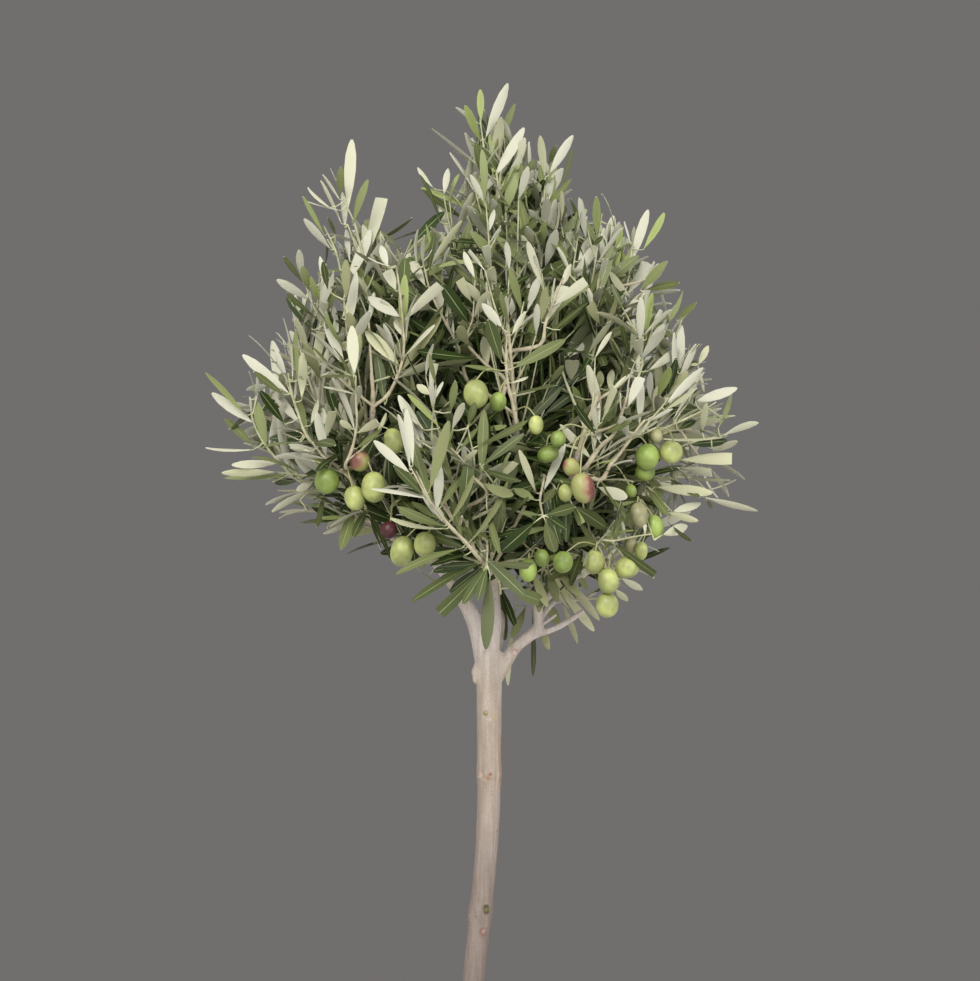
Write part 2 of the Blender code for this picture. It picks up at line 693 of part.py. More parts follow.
def make_foliage(name, lines, stems):
    """One mass of foliage: its stem, laterals, leaves and fruit, fused into one solid."""
    space = Space(name, lines, stems)
    rng = random.Random(100 + MASSES[name][4])
    stem = stems[name]
    laterals = lateral_lines(name, stem, space)
    fruit = fruit_places(space)
    taken = [(centre, centre + UP * GAP, FRUIT_RADIUS) for centre in fruit]
    leaves = leaves_on(stem, FIRST_LEAF["stem"], rng, space, taken)
    for lateral in laterals:
        leaves += leaves_on(lateral, FIRST_LEAF["lateral"], rng, space, taken)
    parts = [tube("lateral", lateral, TWIG_SIDES, "bark") for lateral in laterals]
    parts += [add_faces("leaf", corners, LEAF_FACES, "leaf") for corners in leaves]
    for centre in fruit:
        parts += fruit_parts(centre, [stem, *laterals])
    fuse(tube(name, stem, TWIG_SIDES, "leaf"), parts)


def main():
    for old in list(bpy.data.objects):
        bpy.data.objects.remove(old)
    make_pot()
    make_soil()
    lines = make_limbs()
    stems = {name: stem_line(name, lines) for name in MASSES}
    for name in MASSES:
        make_foliage(name, lines, stems)


main()
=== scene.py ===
"""The looks of a potted olive tree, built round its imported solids.

The solids give the places: every limb, bough and stem here follows the same lines as in the part's
source, from the same tables, rules and seeds. Each mass of foliage is then carried on to finer twigs
with leaves at their real size. Metres, +Z up, the front faces -Y. Tables are in millimetres.
"""

import itertools
import math
import random

import bpy
import numpy as np
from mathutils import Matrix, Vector, noise

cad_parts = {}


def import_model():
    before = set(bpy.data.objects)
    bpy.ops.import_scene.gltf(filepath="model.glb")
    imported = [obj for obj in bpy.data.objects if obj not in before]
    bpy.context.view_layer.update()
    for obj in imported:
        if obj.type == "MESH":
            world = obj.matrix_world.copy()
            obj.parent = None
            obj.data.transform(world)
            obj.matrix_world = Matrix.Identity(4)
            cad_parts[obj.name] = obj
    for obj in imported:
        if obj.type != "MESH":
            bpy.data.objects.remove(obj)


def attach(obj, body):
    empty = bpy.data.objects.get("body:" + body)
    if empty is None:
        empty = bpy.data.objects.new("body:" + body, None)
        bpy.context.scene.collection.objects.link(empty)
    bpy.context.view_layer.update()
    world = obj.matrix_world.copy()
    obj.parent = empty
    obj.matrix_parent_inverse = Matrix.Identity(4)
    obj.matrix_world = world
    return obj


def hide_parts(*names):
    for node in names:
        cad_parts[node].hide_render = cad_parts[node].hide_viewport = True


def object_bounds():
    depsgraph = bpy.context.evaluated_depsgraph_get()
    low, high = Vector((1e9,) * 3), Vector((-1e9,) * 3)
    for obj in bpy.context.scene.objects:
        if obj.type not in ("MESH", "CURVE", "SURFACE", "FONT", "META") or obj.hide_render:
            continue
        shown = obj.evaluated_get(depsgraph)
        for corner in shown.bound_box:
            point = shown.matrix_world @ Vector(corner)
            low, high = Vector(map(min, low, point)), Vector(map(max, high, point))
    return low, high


MM = 0.001
UP = Vector((0.0, 0.0, 1.0))
GAP = 0.3 * MM
NEARLY_UPRIGHT = 0.1  # below this length, a direction's side is taken from X
PARALLEL = 1e-18  # below this slant, two segments count as parallel
FAR = 9.0  # more than any share or depth here

# ------------------------------------------------------------------ the source's sizes and tables

POT_HEIGHT = 0.240
POT_FOOT_RADIUS = 0.100
POT_BODY_RADIUS = 0.131
POT_RIM_RADIUS = 0.139
POT_RIM_BAND = 0.036
POT_WALL = 0.010
POT_EDGE = 0.003
SOIL_LEVEL = POT_HEIGHT - 0.025

FORK_HEIGHT = 0.616
TRUNK_LEAN = 0.020
TRUNK_LEAN_DONE = 0.7
TRUNK_SWAY = 0.004
TRUNK_FOOT_RADIUS = 0.0113
TRUNK_WAIST_RADIUS = 0.0104
TRUNK_FORK_RADIUS = 0.0124
FLARE_RADIUS = 0.0085
FLARE_HEIGHT = 0.012
TRUNK_STEP = 0.030
TRUNK_JOINTS = ((0.158, 0.0011), (0.292, 0.0010))
JOINT_LENGTH = 0.009
TRUNK_END = ((0.006, 0.92), (0.011, 0.62))  # height over the fork, share of the radius there
KNOT = (7.5, -5.0, 600.0)
KNOT_RADIUS = 0.0056

LIMBS = {
    "limb_left": (
        ("trunk", 0.90, 8.6),
        ((8, -1, 646, 8.2), (-2, -4, 667, 6.6), (-16, -12, 688, 4.4), (-52, -32, 736, 3.9),
         (-94, -46, 798, 3.4), (-120, -52, 836, 2.8)),
    ),
    "limb_centre": (
        ("trunk", 0.92, 6.6),
        ((26, -3, 650, 5.6), (25, 0, 690, 5.0), (40, -4, 820, 4.2), (44, -6, 880, 3.7), (38, -4, 972, 3.0)),
    ),
    "limb_right": (
        ("trunk", 0.90, 7.2),
        ((46, 0, 627, 5.8), (66, -1, 645, 5.2), (66, -6, 690, 4.0), (84, -28, 742, 3.7),
         (116, -50, 790, 3.3), (134, -58, 814, 2.8)),
    ),
    "limb_back": (
        ("trunk", 0.92, 6.6),
        ((30, 20, 652, 6.0), (28, 50, 690, 4.6), (14, 92, 716, 3.0)),
    ),
    "bough_lower_left": (("limb_left", 0.49, 3.2), ((-60, -44, 724, 2.9), (-86, -56, 744, 2.6))),
    "bough_upper_left": (
        ("limb_left", 0.38, 4.2),
        ((-30, -18, 780, 3.8), (-54, -18, 860, 3.4), (-66, -22, 932, 2.8)),
    ),
    "bough_front_left": (("limb_left", 0.78, 3.4), ((-88, -76, 806, 3.0), (-85, -106, 846, 2.6))),
    "bough_back_left": (("limb_left", 0.34, 4.0), ((-24, 26, 730, 3.6), (-56, 62, 810, 2.8))),
    "bough_front_low": (("limb_centre", 0.22, 4.0), ((24, -54, 700, 3.4), (18, -112, 708, 2.8))),
    "bough_front_high": (("limb_centre", 0.42, 3.8), ((44, -52, 806, 3.2), (44, -102, 838, 2.8))),
    "bough_upper_right": (("limb_centre", 0.56, 3.8), ((70, -12, 858, 3.3), (104, -14, 904, 2.8))),
    "bough_back_top": (("limb_centre", 0.52, 3.8), ((34, 36, 856, 3.3), (26, 66, 918, 2.8))),
    "bough_lower_right": (("limb_right", 0.35, 3.6), ((92, -32, 690, 3.0), (118, -50, 702, 2.6))),
    "bough_front_right": (("limb_right", 0.70, 3.4), ((92, -84, 772, 3.0), (100, -116, 808, 2.6))),
    "bough_back_right": (("limb_right", 0.42, 3.8), ((74, 30, 738, 3.4), (84, 66, 800, 2.8))),
    "bough_low_back": (("limb_right", 0.30, 3.4), ((82, 24, 668, 2.9), (98, 48, 668, 2.4))),
    "pruned_stub": (("limb_right", 0.225, 3.4), ((84, -3, 645, 2.8), (110, -6, 661, 2.3))),
    "pruned_twig": (("limb_right", 0.255, 1.8), ((76, -8, 652, 1.5), (84, -11, 658, 1.3))),
}
LIMB_STEP = 0.030

MASSES = {
    "foliage_top": ("limb_centre", (34, 0, 1062), 105, (35, 0, 1166), 1),
    "foliage_upper_left": ("bough_upper_left", (-82, -22, 1006), 103, (-112, -22, 1102), 2),
    "foliage_upper_right": ("bough_upper_right", (130, -16, 960), 98, (172, -20, 1040), 3),
    "foliage_left": ("limb_left", (-154, -46, 862), 99, (-248, -50, 884), 4),
    "foliage_right": ("limb_right", (180, -42, 838), 98, (276, -42, 846), 5),
    "foliage_lower_left": ("bough_lower_left", (-122, -62, 782), 80, (-180, -66, 758), 6),
    "foliage_lower_right": ("bough_lower_right", (134, -60, 738), 94, (210, -72, 700), 7),
    "foliage_front_low": ("bough_front_low", (-18, -132, 754), 108, (-62, -202, 820), 8),
    "foliage_front_high": ("bough_front_high", (28, -136, 906), 104, (30, -172, 1002), 9),
    "foliage_front_left": ("bough_front_left", (-84, -124, 884), 100, (-92, -158, 976), 10),
    "foliage_front_right": ("bough_front_right", (124, -126, 866), 98, (150, -166, 950), 11),
    "foliage_back_top": ("bough_back_top", (20, 112, 952), 112, (30, 150, 1056), 12),
    "foliage_back_left": ("bough_back_left", (-100, 106, 876), 112, (-178, 154, 936), 13),
    "foliage_back_right": ("bough_back_right", (126, 110, 870), 112, (204, 154, 926), 14),
    "foliage_back_low": ("limb_back", (8, 136, 768), 104, (4, 226, 812), 15),
    "foliage_low_back": ("bough_low_back", (96, 56, 706), 86, (130, 74, 630), 16),
}
STEM_RADII = (2.4 * MM, 1.0 * MM)
STEM_STRAIGHT = 0.005
STEM_STEPS = 4
STEM_LEAF = 0.078 * 0.9  # the source's stem ends this far short of its reach
LATERAL_RADII = (1.5 * MM, 0.8 * MM)
BALL_PER_LATERAL = 0.015
LATERAL_SHARES = (0.08, 0.86)
LATERAL_LENGTHS = (0.92, 0.60)
LATERAL_VARIES = (0.85, 1.10)
LATERAL_SPREAD = (36.0, 60.0)
LATERAL_TURN = 0.4
LATERAL_MARGIN = 0.022
LATERAL_TRIES = (1.0, 0.8, 0.6, 0.45)
LATERAL_CROTCH = 0.012
LIFT_LEVEL = 0.74
LIFT_RATE = 2.0
LIFT_LIMITS = (-0.25, 0.55)
GOLDEN_ANGLE = math.radians(137.5)

# ------------------------------------------------------------------ what only the scene has

GROWTH_SEED, FRUIT_SEED, SOIL_SEED = 100, 7, 21

# The head's outline: (height, radius) in millimetres. Leaves of all but the leaders keep inside it.
OUTLINE = (
    (600, 20), (640, 75), (670, 118), (700, 168), (740, 212), (780, 246), (830, 262), (880, 250),
    (930, 226), (980, 192), (1030, 146), (1080, 88), (1120, 42), (1145, 14), (1160, 1),
)
OUTLINE_CENTRE = (0.020, 0.0)
OUTLINE_DEPTH = 0.89  # front to back, of side to side
OUTLINE_VARIES = (0.72, 0.95)  # by shoot

# Shoots: the finer twigs that grow from a bough, a stem or a lateral
SHOOTS = {"bough": 0.013, "stem": 0.016, "lateral": 0.023}  # one for so much length
INNER_SHOOTS = {"bough": 0.009, "stem": 0.010, "lateral": 0.030}
INNER_LIMITS = (0.45, 0.74)  # of the outline
SHOOT_SHARES = (0.06, 0.94)
SHOOT_LENGTHS = (0.055, 0.115)
SHOOT_RADII = (1.1 * MM, 0.55 * MM)
TWIG_TRIM = 0.0045  # twigs end this near to the last thing that grows on them
SHOOT_PULLS = (0.45, 0.45, 0.42)  # along its own twig, outwards, at random
INNER_PULLS = (0.25, -0.15, 0.80)
SHOOT_LIFT = 0.42  # how much more than laterals they turn upwards
SHOOT_LIFT_SHARE = 0.5
SHOOT_BOW = 0.10  # how much more their outer half turns upwards
SHOOT_MARGIN = 0.024
SHOOT_EDGE = 0.096  # of the outline, how far within their limit they end
REACH_SPARE = 0.007  # how far a leaf may pass the balls
SHOOT_HEART = Vector((0.020, 0.010, 0.700))
BOUGH_SHOOT_LEVEL = 0.700  # boughs are bare below it
BOUGH_ROOT_LEVEL = 0.670  # but leaders may start above this

# The head's edge as it stands in the photograph, in pixels (across, down): leaves end below the
# first line and above the second, but for those that stand out
SKYLINE = (
    (200, 425), (225, 402), (250, 374), (270, 352), (290, 300), (300, 264), (318, 224), (335, 202),
    (350, 190), (372, 214), (390, 246), (410, 250), (422, 228), (440, 192), (455, 160), (470, 118),
    (480, 100), (500, 104), (520, 134), (545, 145), (570, 152), (576, 190), (590, 216), (605, 208),
    (625, 228), (650, 220), (660, 240), (668, 268), (682, 292), (698, 312), (702, 345), (712, 378),
    (735, 396), (742, 416), (760, 432), (780, 460),
)
FOOTLINE = (
    (200, 458), (222, 476), (250, 486), (272, 512), (300, 520), (318, 532), (345, 550), (380, 560),
    (410, 576), (440, 604), (600, 604), (630, 600), (650, 590), (660, 576), (690, 545), (712, 522),
    (757, 515), (780, 500),
)
# The dark hollow in the front of the head: centre and half sizes, millimetres
HOLLOW = (46, -170, 862), (80, 100, 50)
INNER_SHARE = 0.62  # of the outline, within which leaves grow between the masses too
FRONT_SPARE = 0.006  # how far leaves may pass the front and back of the solids

# Leading shoots as they stand in the photograph: depth in millimetres at the base and at the tip,
# radius in millimetres at the base, then the pixels (across, down) that they pass.
LEADERS = (
    (-6, -12, 1.6, (494, 262), (487, 180), (483, 142), (480, 120)), (-20, -26, 1.5, (505, 250), (494, 150)),
    (-40, -52, 1.5, (516, 292), (519, 182)), (-10, -14, 1.5, (538, 282), (545, 178)),
    (18, 24, 1.5, (556, 300), (556, 165)), (10, 16, 1.5, (540, 240), (529, 190)),
    (-8, -16, 1.5, (456, 290), (444, 196)), (-80, -90, 1.5, (497, 335), (486, 205)),
    (10, 6, 1.5, (480, 260), (470, 222), (452, 195), (436, 190)),
    (-60, -76, 2.0, (468, 382), (462, 360), (456, 342), (440, 312), (433, 298), (428, 284), (423, 262)),
    (-96, -122, 1.9, (505, 380), (490, 368), (468, 345), (469, 330), (473, 318), (475, 280)),
    (-130, -168, 2.6, (517, 428), (513, 405), (508, 385), (506, 360), (507, 333)),
    (-110, -130, 2.0, (540, 345), (545, 325), (552, 305), (560, 285), (566, 272)),
    (-110, -140, 1.9, (388, 395), (400, 370), (404, 345), (402, 310), (398, 278), (396, 266)),
    (-30, -36, 1.5, (374, 332), (360, 262), (348, 225)),
    (-38, -44, 1.5, (366, 262), (354, 222), (343, 200)), (-14, -10, 1.5, (380, 318), (372, 240)),
    (-44, -52, 1.5, (352, 300), (336, 252), (324, 226)),
    (-58, -70, 1.7, (334, 350), (318, 316), (308, 292), (302, 270)),
    (-40, -44, 1.5, (404, 330), (400, 258), (394, 246)), (-90, -110, 1.5, (350, 366), (344, 300)),
    (-96, -100, 2.3, (354, 484), (344, 472), (333, 463), (322, 455), (313, 443), (300, 432)),
    (-98, -112, 1.6, (313, 443), (297, 410), (290, 385), (288, 368)),
    (-60, -72, 1.7, (306, 482), (280, 462), (262, 440), (253, 420), (250, 400)),
    (-60, -64, 1.5, (330, 480), (298, 475), (278, 472)),
    (-50, -56, 1.5, (346, 492), (315, 489), (300, 500)),
    (-120, -150, 1.9, (346, 468), (352, 450), (357, 425), (356, 400), (356, 376)),
    (-40, -46, 2.6, (364, 424), (366, 400), (365, 345)), (-86, -100, 1.5, (366, 510), (342, 548)),
    (-150, -222, 2.3, (483, 562), (468, 545), (450, 526), (437, 510), (427, 497), (410, 466)),
    (-160, -196, 1.8, (487, 494), (472, 476), (462, 460), (451, 448)),
    (-150, -190, 1.6, (440, 470), (432, 440), (434, 404)), (-140, -216, 1.8, (486, 540), (487, 566)),
    (-140, -196, 1.5, (470, 570), (440, 600)), (-110, -136, 1.5, (500, 585), (498, 628)),
    (-110, -200, 1.8, (541, 478), (540, 500), (543, 516)), (-120, -150, 1.5, (560, 440), (548, 400)),
    (-150, -184, 1.7, (500, 500), (480, 464)), (-20, -30, 1.5, (590, 292), (602, 214)),
    (-20, -30, 1.5, (570, 300), (578, 236)), (-12, -18, 1.6, (625, 290), (630, 262), (633, 240)),
    (-90, -112, 1.6, (640, 372), (645, 292)), (-40, -50, 1.5, (662, 352), (690, 300)),
    (-60, -70, 1.7, (655, 412), (665, 400), (690, 365)), (-60, -66, 1.5, (560, 362), (575, 345)),
    (-120, -168, 2.6, (583, 470), (600, 447), (613, 435), (621, 415), (626, 400), (630, 382)),
    (-116, -146, 2.3, (600, 480), (610, 465), (620, 453), (633, 435), (645, 420), (655, 412), (663, 405)),
    (-136, -150, 1.6, (638, 434), (650, 420), (661, 408), (668, 398)),
    (-60, -64, 1.6, (660, 430), (700, 412), (716, 402)),
    (-50, -52, 1.6, (664, 450), (700, 440), (722, 436)),
    (-50, -54, 1.6, (650, 474), (690, 478), (706, 490)), (-70, -88, 1.6, (645, 486), (672, 512)),
    (-110, -150, 1.6, (597, 470), (590, 430)),
    (-110, -122, 1.4, (600, 540), (612, 541), (632, 537), (651, 534)),
    (12, 22, 1.5, (545, 555), (566, 590)), (14, 24, 1.5, (566, 556), (602, 600)),
    (-90, -108, 1.5, (640, 500), (654, 540)), (-110, -126, 1.5, (530, 560), (540, 590)),
    (-60, -66, 1.5, (610, 560), (620, 585)), (-60, -70, 1.6, (588, 376), (600, 335), (618, 314)),
    (-60, -64, 1.5, (322, 420), (320, 380)), (-96, -120, 1.5, (556, 480), (572, 504)),
    (-160, -186, 1.5, (474, 470), (468, 428)), (-50, -58, 1.5, (588, 415), (600, 389)),
    (-100, -114, 1.5, (520, 345), (524, 312)), (-54, -56, 1.5, (600, 566), (580, 556), (548, 560)),
    (16, 22, 1.5, (530, 556), (535, 606)), (17, 20, 1.5, (524, 560), (514, 618)),
    (18, 20, 1.5, (508, 556), (502, 590)),
)
LEADER_TIP_RADIUS = 0.6 * MM
LEADER_PARTS = 10  # places looked at on each part of a leader
LEADER_MIDDLE = 0.3  # of its length, where its mass is found
ROOT_AHEAD, ROOT_SPARE = 1.5, 0.010  # a leader's root lies behind its base rather than ahead of it
TWIG_STEP, BOUGH_STEP = 0.006, 0.008  # from point to point of the drawn lines
LEADER_LIMIT = 0.92  # of the outline, for the leaves that the photograph doesn't single out
BACK_LEADER_FROM = 45  # leaders further forward than this are repeated at the back
BACK_LEADER_DEPTH = 0.97
SIDE_SHOOT_STEP = 0.030
SIDE_SHOOT_LENGTHS = (0.018, 0.042)
SIDE_SHOOT_SPREAD = (28.0, 46.0)
SIDE_SHOOT_END = 0.85  # of the leader, beyond which none stand
SIDE_SHOOT_RISE = 0.4  # how far their second half turns along the leader

# Leaves that stand out in the photograph: pixels of the foot and of the tip, width in pixels, and
# which side shows (o: upper, u: under) in which tone; a darker tone is partly painted shade. Those with
# a c are clipped across. A seventh value is the depth at which their leader starts.
SEEN_LEAVES = (
    # top left
    (348, 212, 352, 140, 10, "u1"), (345, 228, 342, 193, 7, "u0"), (344, 196, 331, 169, 3, "u1"),
    (341, 196, 341, 167, 8, "o3"), (340, 200, 323, 175, 4, "u1"), (342, 224, 321, 181, 4, "u1"),
    (330, 208, 308, 188, 4, "u1"), (340, 211, 307, 202, 3, "u1"), (325, 236, 303, 197, 6, "o4"),
    (331, 250, 304, 219, 7, "u0"), (336, 235, 328, 218, 4, "o1"), (350, 262, 346, 230, 5, "u0"),
    (363, 265, 381, 198, 10, "u1c"), (353, 225, 368, 180, 7, "o3"), (370, 245, 413, 218, 4, "o2"),
    (404, 256, 381, 232, 4, "o2"), (388, 268, 381, 246, 8, "u0"), (418, 268, 418, 230, 6, "u0"),
    (424, 268, 424, 235, 4, "u1"), (432, 250, 426, 225, 4, "o4"), (428, 270, 462, 221, 8, "u2"),
    (433, 188, 418, 168, 3, "u1"), (440, 222, 420, 175, 3, "o1"), (467, 208, 421, 188, 7, "o4"),
    (468, 222, 423, 190, 6, "o2"), (444, 195, 448, 169, 7, "u0"), (450, 240, 440, 203, 8, "u1"),
    (478, 165, 432, 129, 4, "u0"), (474, 192, 450, 153, 2, "u0"), (455, 200, 478, 172, 9, "u1"),
    (480, 172, 476, 142, 7, "o2"), (484, 205, 482, 150, 7, "o3"), (302, 278, 299, 250, 8, "u0"),
    (303, 283, 284, 257, 5, "o2"), (310, 300, 277, 280, 9, "u0"), (313, 330, 287, 297, 11, "o0"),
    (318, 320, 287, 293, 4, "o2"), (324, 282, 320, 257, 6, "u0"), (328, 290, 323, 262, 7, "o1"),
    (318, 303, 311, 277, 6, "o4"), (309, 290, 303, 266, 9, "o3"), (321, 325, 325, 303, 8, "u1c"),
    (342, 318, 356, 296, 10, "u2c"), (328, 312, 336, 283, 8, "o3"), (346, 300, 346, 260, 9, "u3"),
    (383, 300, 355, 266, 10, "o4"), (401, 318, 369, 297, 13, "u0"), (396, 291, 386, 270, 11, "u1c"),
    (391, 267, 368, 258, 2, "u1"), (404, 268, 410, 253, 6, "u1"), (426, 287, 412, 263, 11, "u1c"),
    (406, 340, 416, 295, 4, "u1"), (403, 338, 405, 275, 8, "o4"), (402, 336, 396, 318, 9, "u1"),
    (364, 345, 361, 308, 5, "o3"), (355, 335, 349, 313, 10, "u3"), (421, 330, 430, 311, 10, "o1"),
    (403, 359, 435, 325, 2, "u1"), (455, 341, 436, 288, 13, "u1"), (472, 303, 460, 280, 10, "u2c"),
    (475, 279, 464, 252, 7, "u0"), (470, 325, 442, 285, 14, "o0"), (489, 262, 479, 240, 7, "u1"),
    (474, 318, 489, 292, 11, "u2"), (488, 366, 483, 337, 11, "u2"), (502, 371, 466, 366, 5, "o2"),
    # top
    (481, 122, 480, 90, 7, "o4"), (480, 141, 465, 106, 9, "o4"), (479, 124, 456, 108, 4, "u0"),
    (485, 140, 508, 84, 11, "u0"), (490, 168, 515, 104, 7, "o3"), (494, 178, 524, 128, 11, "u0"),
    (490, 215, 485, 162, 7, "u0"), (530, 190, 529, 142, 4, "u0"), (505, 215, 517, 165, 12, "o3"),
    (545, 178, 540, 136, 8, "u2"), (549, 175, 573, 136, 10, "u0"), (540, 205, 563, 169, 13, "u0"),
    (556, 202, 572, 150, 3, "o2"), (525, 210, 545, 180, 9, "o0"), (549, 165, 556, 146, 6, "o2"),
    (586, 240, 579, 198, 7, "u0"), (597, 237, 596, 197, 9, "o4"), (614, 226, 602, 194, 4, "o3"),
    (558, 228, 579, 213, 7, "o1"), (572, 240, 582, 212, 4, "u0"), (542, 225, 529, 210, 7, "u0"),
    (545, 268, 557, 230, 11, "u0"), (570, 285, 597, 244, 11, "u0"), (578, 262, 590, 238, 9, "u0"),
    (562, 286, 571, 265, 8, "u1"), (602, 262, 604, 228, 8, "u0"), (593, 245, 603, 237, 6, "o1"),
    (616, 275, 621, 225, 8, "o4"), (594, 270, 622, 228, 2, "u0"), (490, 268, 486, 246, 9, "u1c"),
    (478, 232, 472, 208, 6, "u0"), (476, 240, 468, 218, 6, "u0"), (489, 232, 494, 210, 6, "u0"),
    (540, 250, 545, 222, 9, "o3"), (517, 235, 537, 222, 8, "o2"), (497, 284, 490, 269, 10, "u2c"),
    (502, 328, 482, 304, 10, "u0"), (500, 315, 496, 286, 11, "o3"), (509, 325, 501, 293, 4, "o3"),
    (522, 312, 510, 268, 9, "o3"), (508, 300, 506, 258, 2, "u1"), (516, 328, 511, 298, 6, "u0"),
    (529, 295, 526, 271, 5, "u1"), (527, 312, 539, 277, 9, "u0"), (512, 335, 526, 312, 7, "u1"),
    (549, 290, 550, 264, 6, "u2"), (547, 322, 563, 285, 12, "u1c"), (541, 322, 546, 288, 9, "u3"),
    (543, 340, 587, 303, 8, "o1"), (512, 369, 565, 340, 12, "o2"), (560, 330, 588, 302, 7, "o1"),
    (502, 363, 488, 320, 14, "o1"),
    # upper right
    (630, 244, 624, 222, 4, "u0"), (632, 245, 634, 227, 4, "u2"), (632, 262, 648, 210, 10, "u0"),
    (643, 250, 664, 213, 7, "o4"), (627, 295, 648, 262, 12, "u0c"), (640, 290, 667, 262, 11, "o3"),
    (645, 290, 679, 283, 8, "o2"), (630, 298, 609, 272, 10, "u2"), (621, 317, 646, 291, 6, "u0"),
    (640, 345, 641, 297, 9, "u0"), (646, 340, 652, 293, 8, "o4"), (644, 335, 671, 310, 6, "u1"),
    (663, 328, 683, 291, 8, "o4"), (676, 320, 696, 303, 7, "o3"), (640, 361, 665, 330, 10, "u0"),
    (648, 371, 679, 349, 8, "u1"), (671, 389, 676, 358, 7, "o0"), (677, 372, 697, 362, 8, "o1"),
    (698, 365, 708, 346, 7, "u2"), (697, 364, 704, 392, 3, "u1"), (665, 405, 703, 368, 10, "u0"),
    (665, 410, 697, 388, 6, "u2"), (673, 419, 704, 372, 5, "u1"), (638, 375, 641, 355, 8, "u1"),
    (656, 398, 670, 368, 10, "o4"), (667, 396, 676, 360, 8, "o0"), (652, 405, 650, 372, 7, "u0"),
    (627, 408, 640, 378, 11, "u0c"), (566, 357, 584, 332, 12, "u1"), (570, 357, 604, 330, 9, "u1"),
    (588, 354, 611, 321, 7, "u2"), (570, 382, 572, 361, 14, "u2c"), (600, 388, 600, 371, 8, "u3"),
    (609, 390, 612, 370, 8, "u2"), (600, 325, 590, 304, 11, "u3c"), (620, 318, 603, 287, 6, "o3"),
    (631, 360, 622, 325, 5, "o1"), (628, 368, 612, 340, 4, "o2"),
    # left
    (291, 395, 243, 355, 10, "u0"), (289, 382, 249, 335, 2, "u0"), (285, 395, 254, 372, 7, "o2"),
    (300, 424, 270, 389, 11, "u0"), (285, 424, 260, 391, 10, "o0"), (302, 400, 303, 353, 10, "u2"),
    (325, 410, 312, 370, 11, "u1"), (311, 425, 318, 400, 6, "u1"), (336, 405, 331, 380, 7, "u2"),
    (293, 380, 284, 318, 7, "u1"), (298, 380, 296, 330, 6, "o3"), (255, 424, 212, 393, 10, "u0"),
    (245, 415, 206, 373, 8, "o4"), (256, 448, 225, 419, 8, "o2"), (253, 450, 206, 448, 5, "u1"),
    (267, 448, 256, 400, 11, "o3"), (256, 398, 249, 372, 3, "o4"), (253, 415, 250, 397, 3, "u1"),
    (274, 440, 268, 420, 6, "o1"), (280, 463, 232, 465, 9, "u1"), (278, 472, 222, 473, 7, "u2"),
    (298, 475, 225, 478, 8, "o3"), (315, 489, 272, 512, 7, "u1"), (306, 510, 279, 518, 4, "u1"),
    (300, 480, 275, 483, 7, "o1"), (315, 480, 297, 491, 8, "u1"), (324, 495, 317, 527, 7, "o2"),
    (300, 440, 275, 430, 3, "u1"), (300, 442, 263, 447, 3, "o2"), (311, 452, 290, 448, 5, "u1"),
    (355, 376, 352, 326, 12, "u1"), (355, 377, 290, 343, 3, "u1"), (353, 376, 322, 376, 3, "o3"),
    (356, 395, 324, 387, 2, "u1"), (345, 366, 325, 322, 10, "u0"), (346, 350, 325, 312, 5, "o4"),
    (341, 362, 312, 333, 6, "u1"), (320, 378, 305, 343, 12, "u3"), (354, 430, 340, 421, 7, "u2"),
    (325, 441, 333, 412, 10, "u2c"), (356, 449, 381, 430, 6, "o2"), (385, 405, 377, 355, 11, "o1"),
    (400, 366, 366, 331, 14, "u2"),
    # right
    (602, 422, 615, 387, 8, "u2c"), (597, 432, 593, 406, 6, "u1"), (599, 425, 598, 400, 4, "u0"),
    (599, 441, 598, 430, 7, "u1"), (590, 420, 573, 387, 8, "o4"), (604, 434, 631, 421, 7, "o2"),
    (596, 435, 575, 405, 7, "o0"), (592, 460, 560, 425, 9, "u1"), (597, 487, 627, 498, 12, "u1"),
    (695, 402, 737, 388, 11, "u0"), (718, 428, 732, 390, 9, "o3"), (702, 432, 706, 403, 8, "u2"),
    (708, 408, 722, 419, 4, "u2"), (678, 420, 703, 408, 4, "u2"), (662, 435, 682, 418, 8, "u3"),
    (678, 430, 695, 420, 8, "o0"), (660, 439, 722, 438, 6, "u2"), (722, 436, 758, 423, 6, "u1"),
    (714, 452, 737, 441, 8, "u1"), (685, 445, 727, 441, 10, "o0"), (678, 460, 732, 459, 13, "u2c"),
    (680, 468, 712, 473, 9, "u1c"), (676, 466, 690, 484, 4, "u2"), (690, 478, 730, 480, 4, "u2"),
    (660, 481, 700, 488, 2, "u2"), (710, 490, 736, 480, 3, "u1"), (655, 487, 712, 493, 11, "u2"),
    (703, 497, 757, 511, 8, "u1"), (706, 500, 712, 508, 4, "o1"), (672, 512, 700, 503, 10, "u1"),
    (665, 512, 698, 521, 6, "u2"), (662, 535, 687, 526, 11, "u1"), (668, 522, 692, 541, 3, "o1"),
    (645, 485, 668, 515, 8, "o2"), (645, 535, 645, 517, 4, "u0"), (625, 536, 622, 521, 3, "u1"),
    (612, 538, 621, 502, 6, "o1"), (601, 540, 573, 543, 11, "o2c"), (613, 543, 655, 574, 9, "o1c"),
    (572, 505, 607, 528, 14, "o1"),
    # middle and low
    (411, 474, 374, 441, 9, "u0"), (410, 470, 398, 414, 8, "u0"), (413, 466, 406, 409, 8, "u0"),
    (429, 492, 449, 421, 11, "u4"), (437, 511, 441, 466, 11, "u0"), (440, 508, 462, 475, 7, "o2"),
    (449, 523, 474, 475, 5, "u4"), (469, 543, 508, 481, 5, "u4"), (428, 499, 372, 489, 3, "u0"),
    (446, 529, 390, 518, 2, "u2"), (425, 497, 394, 466, 9, "o1"), (445, 526, 398, 507, 9, "o2"),
    (441, 520, 412, 502, 8, "o2"), (466, 548, 425, 533, 9, "o1"), (462, 548, 396, 574, 9, "o2"),
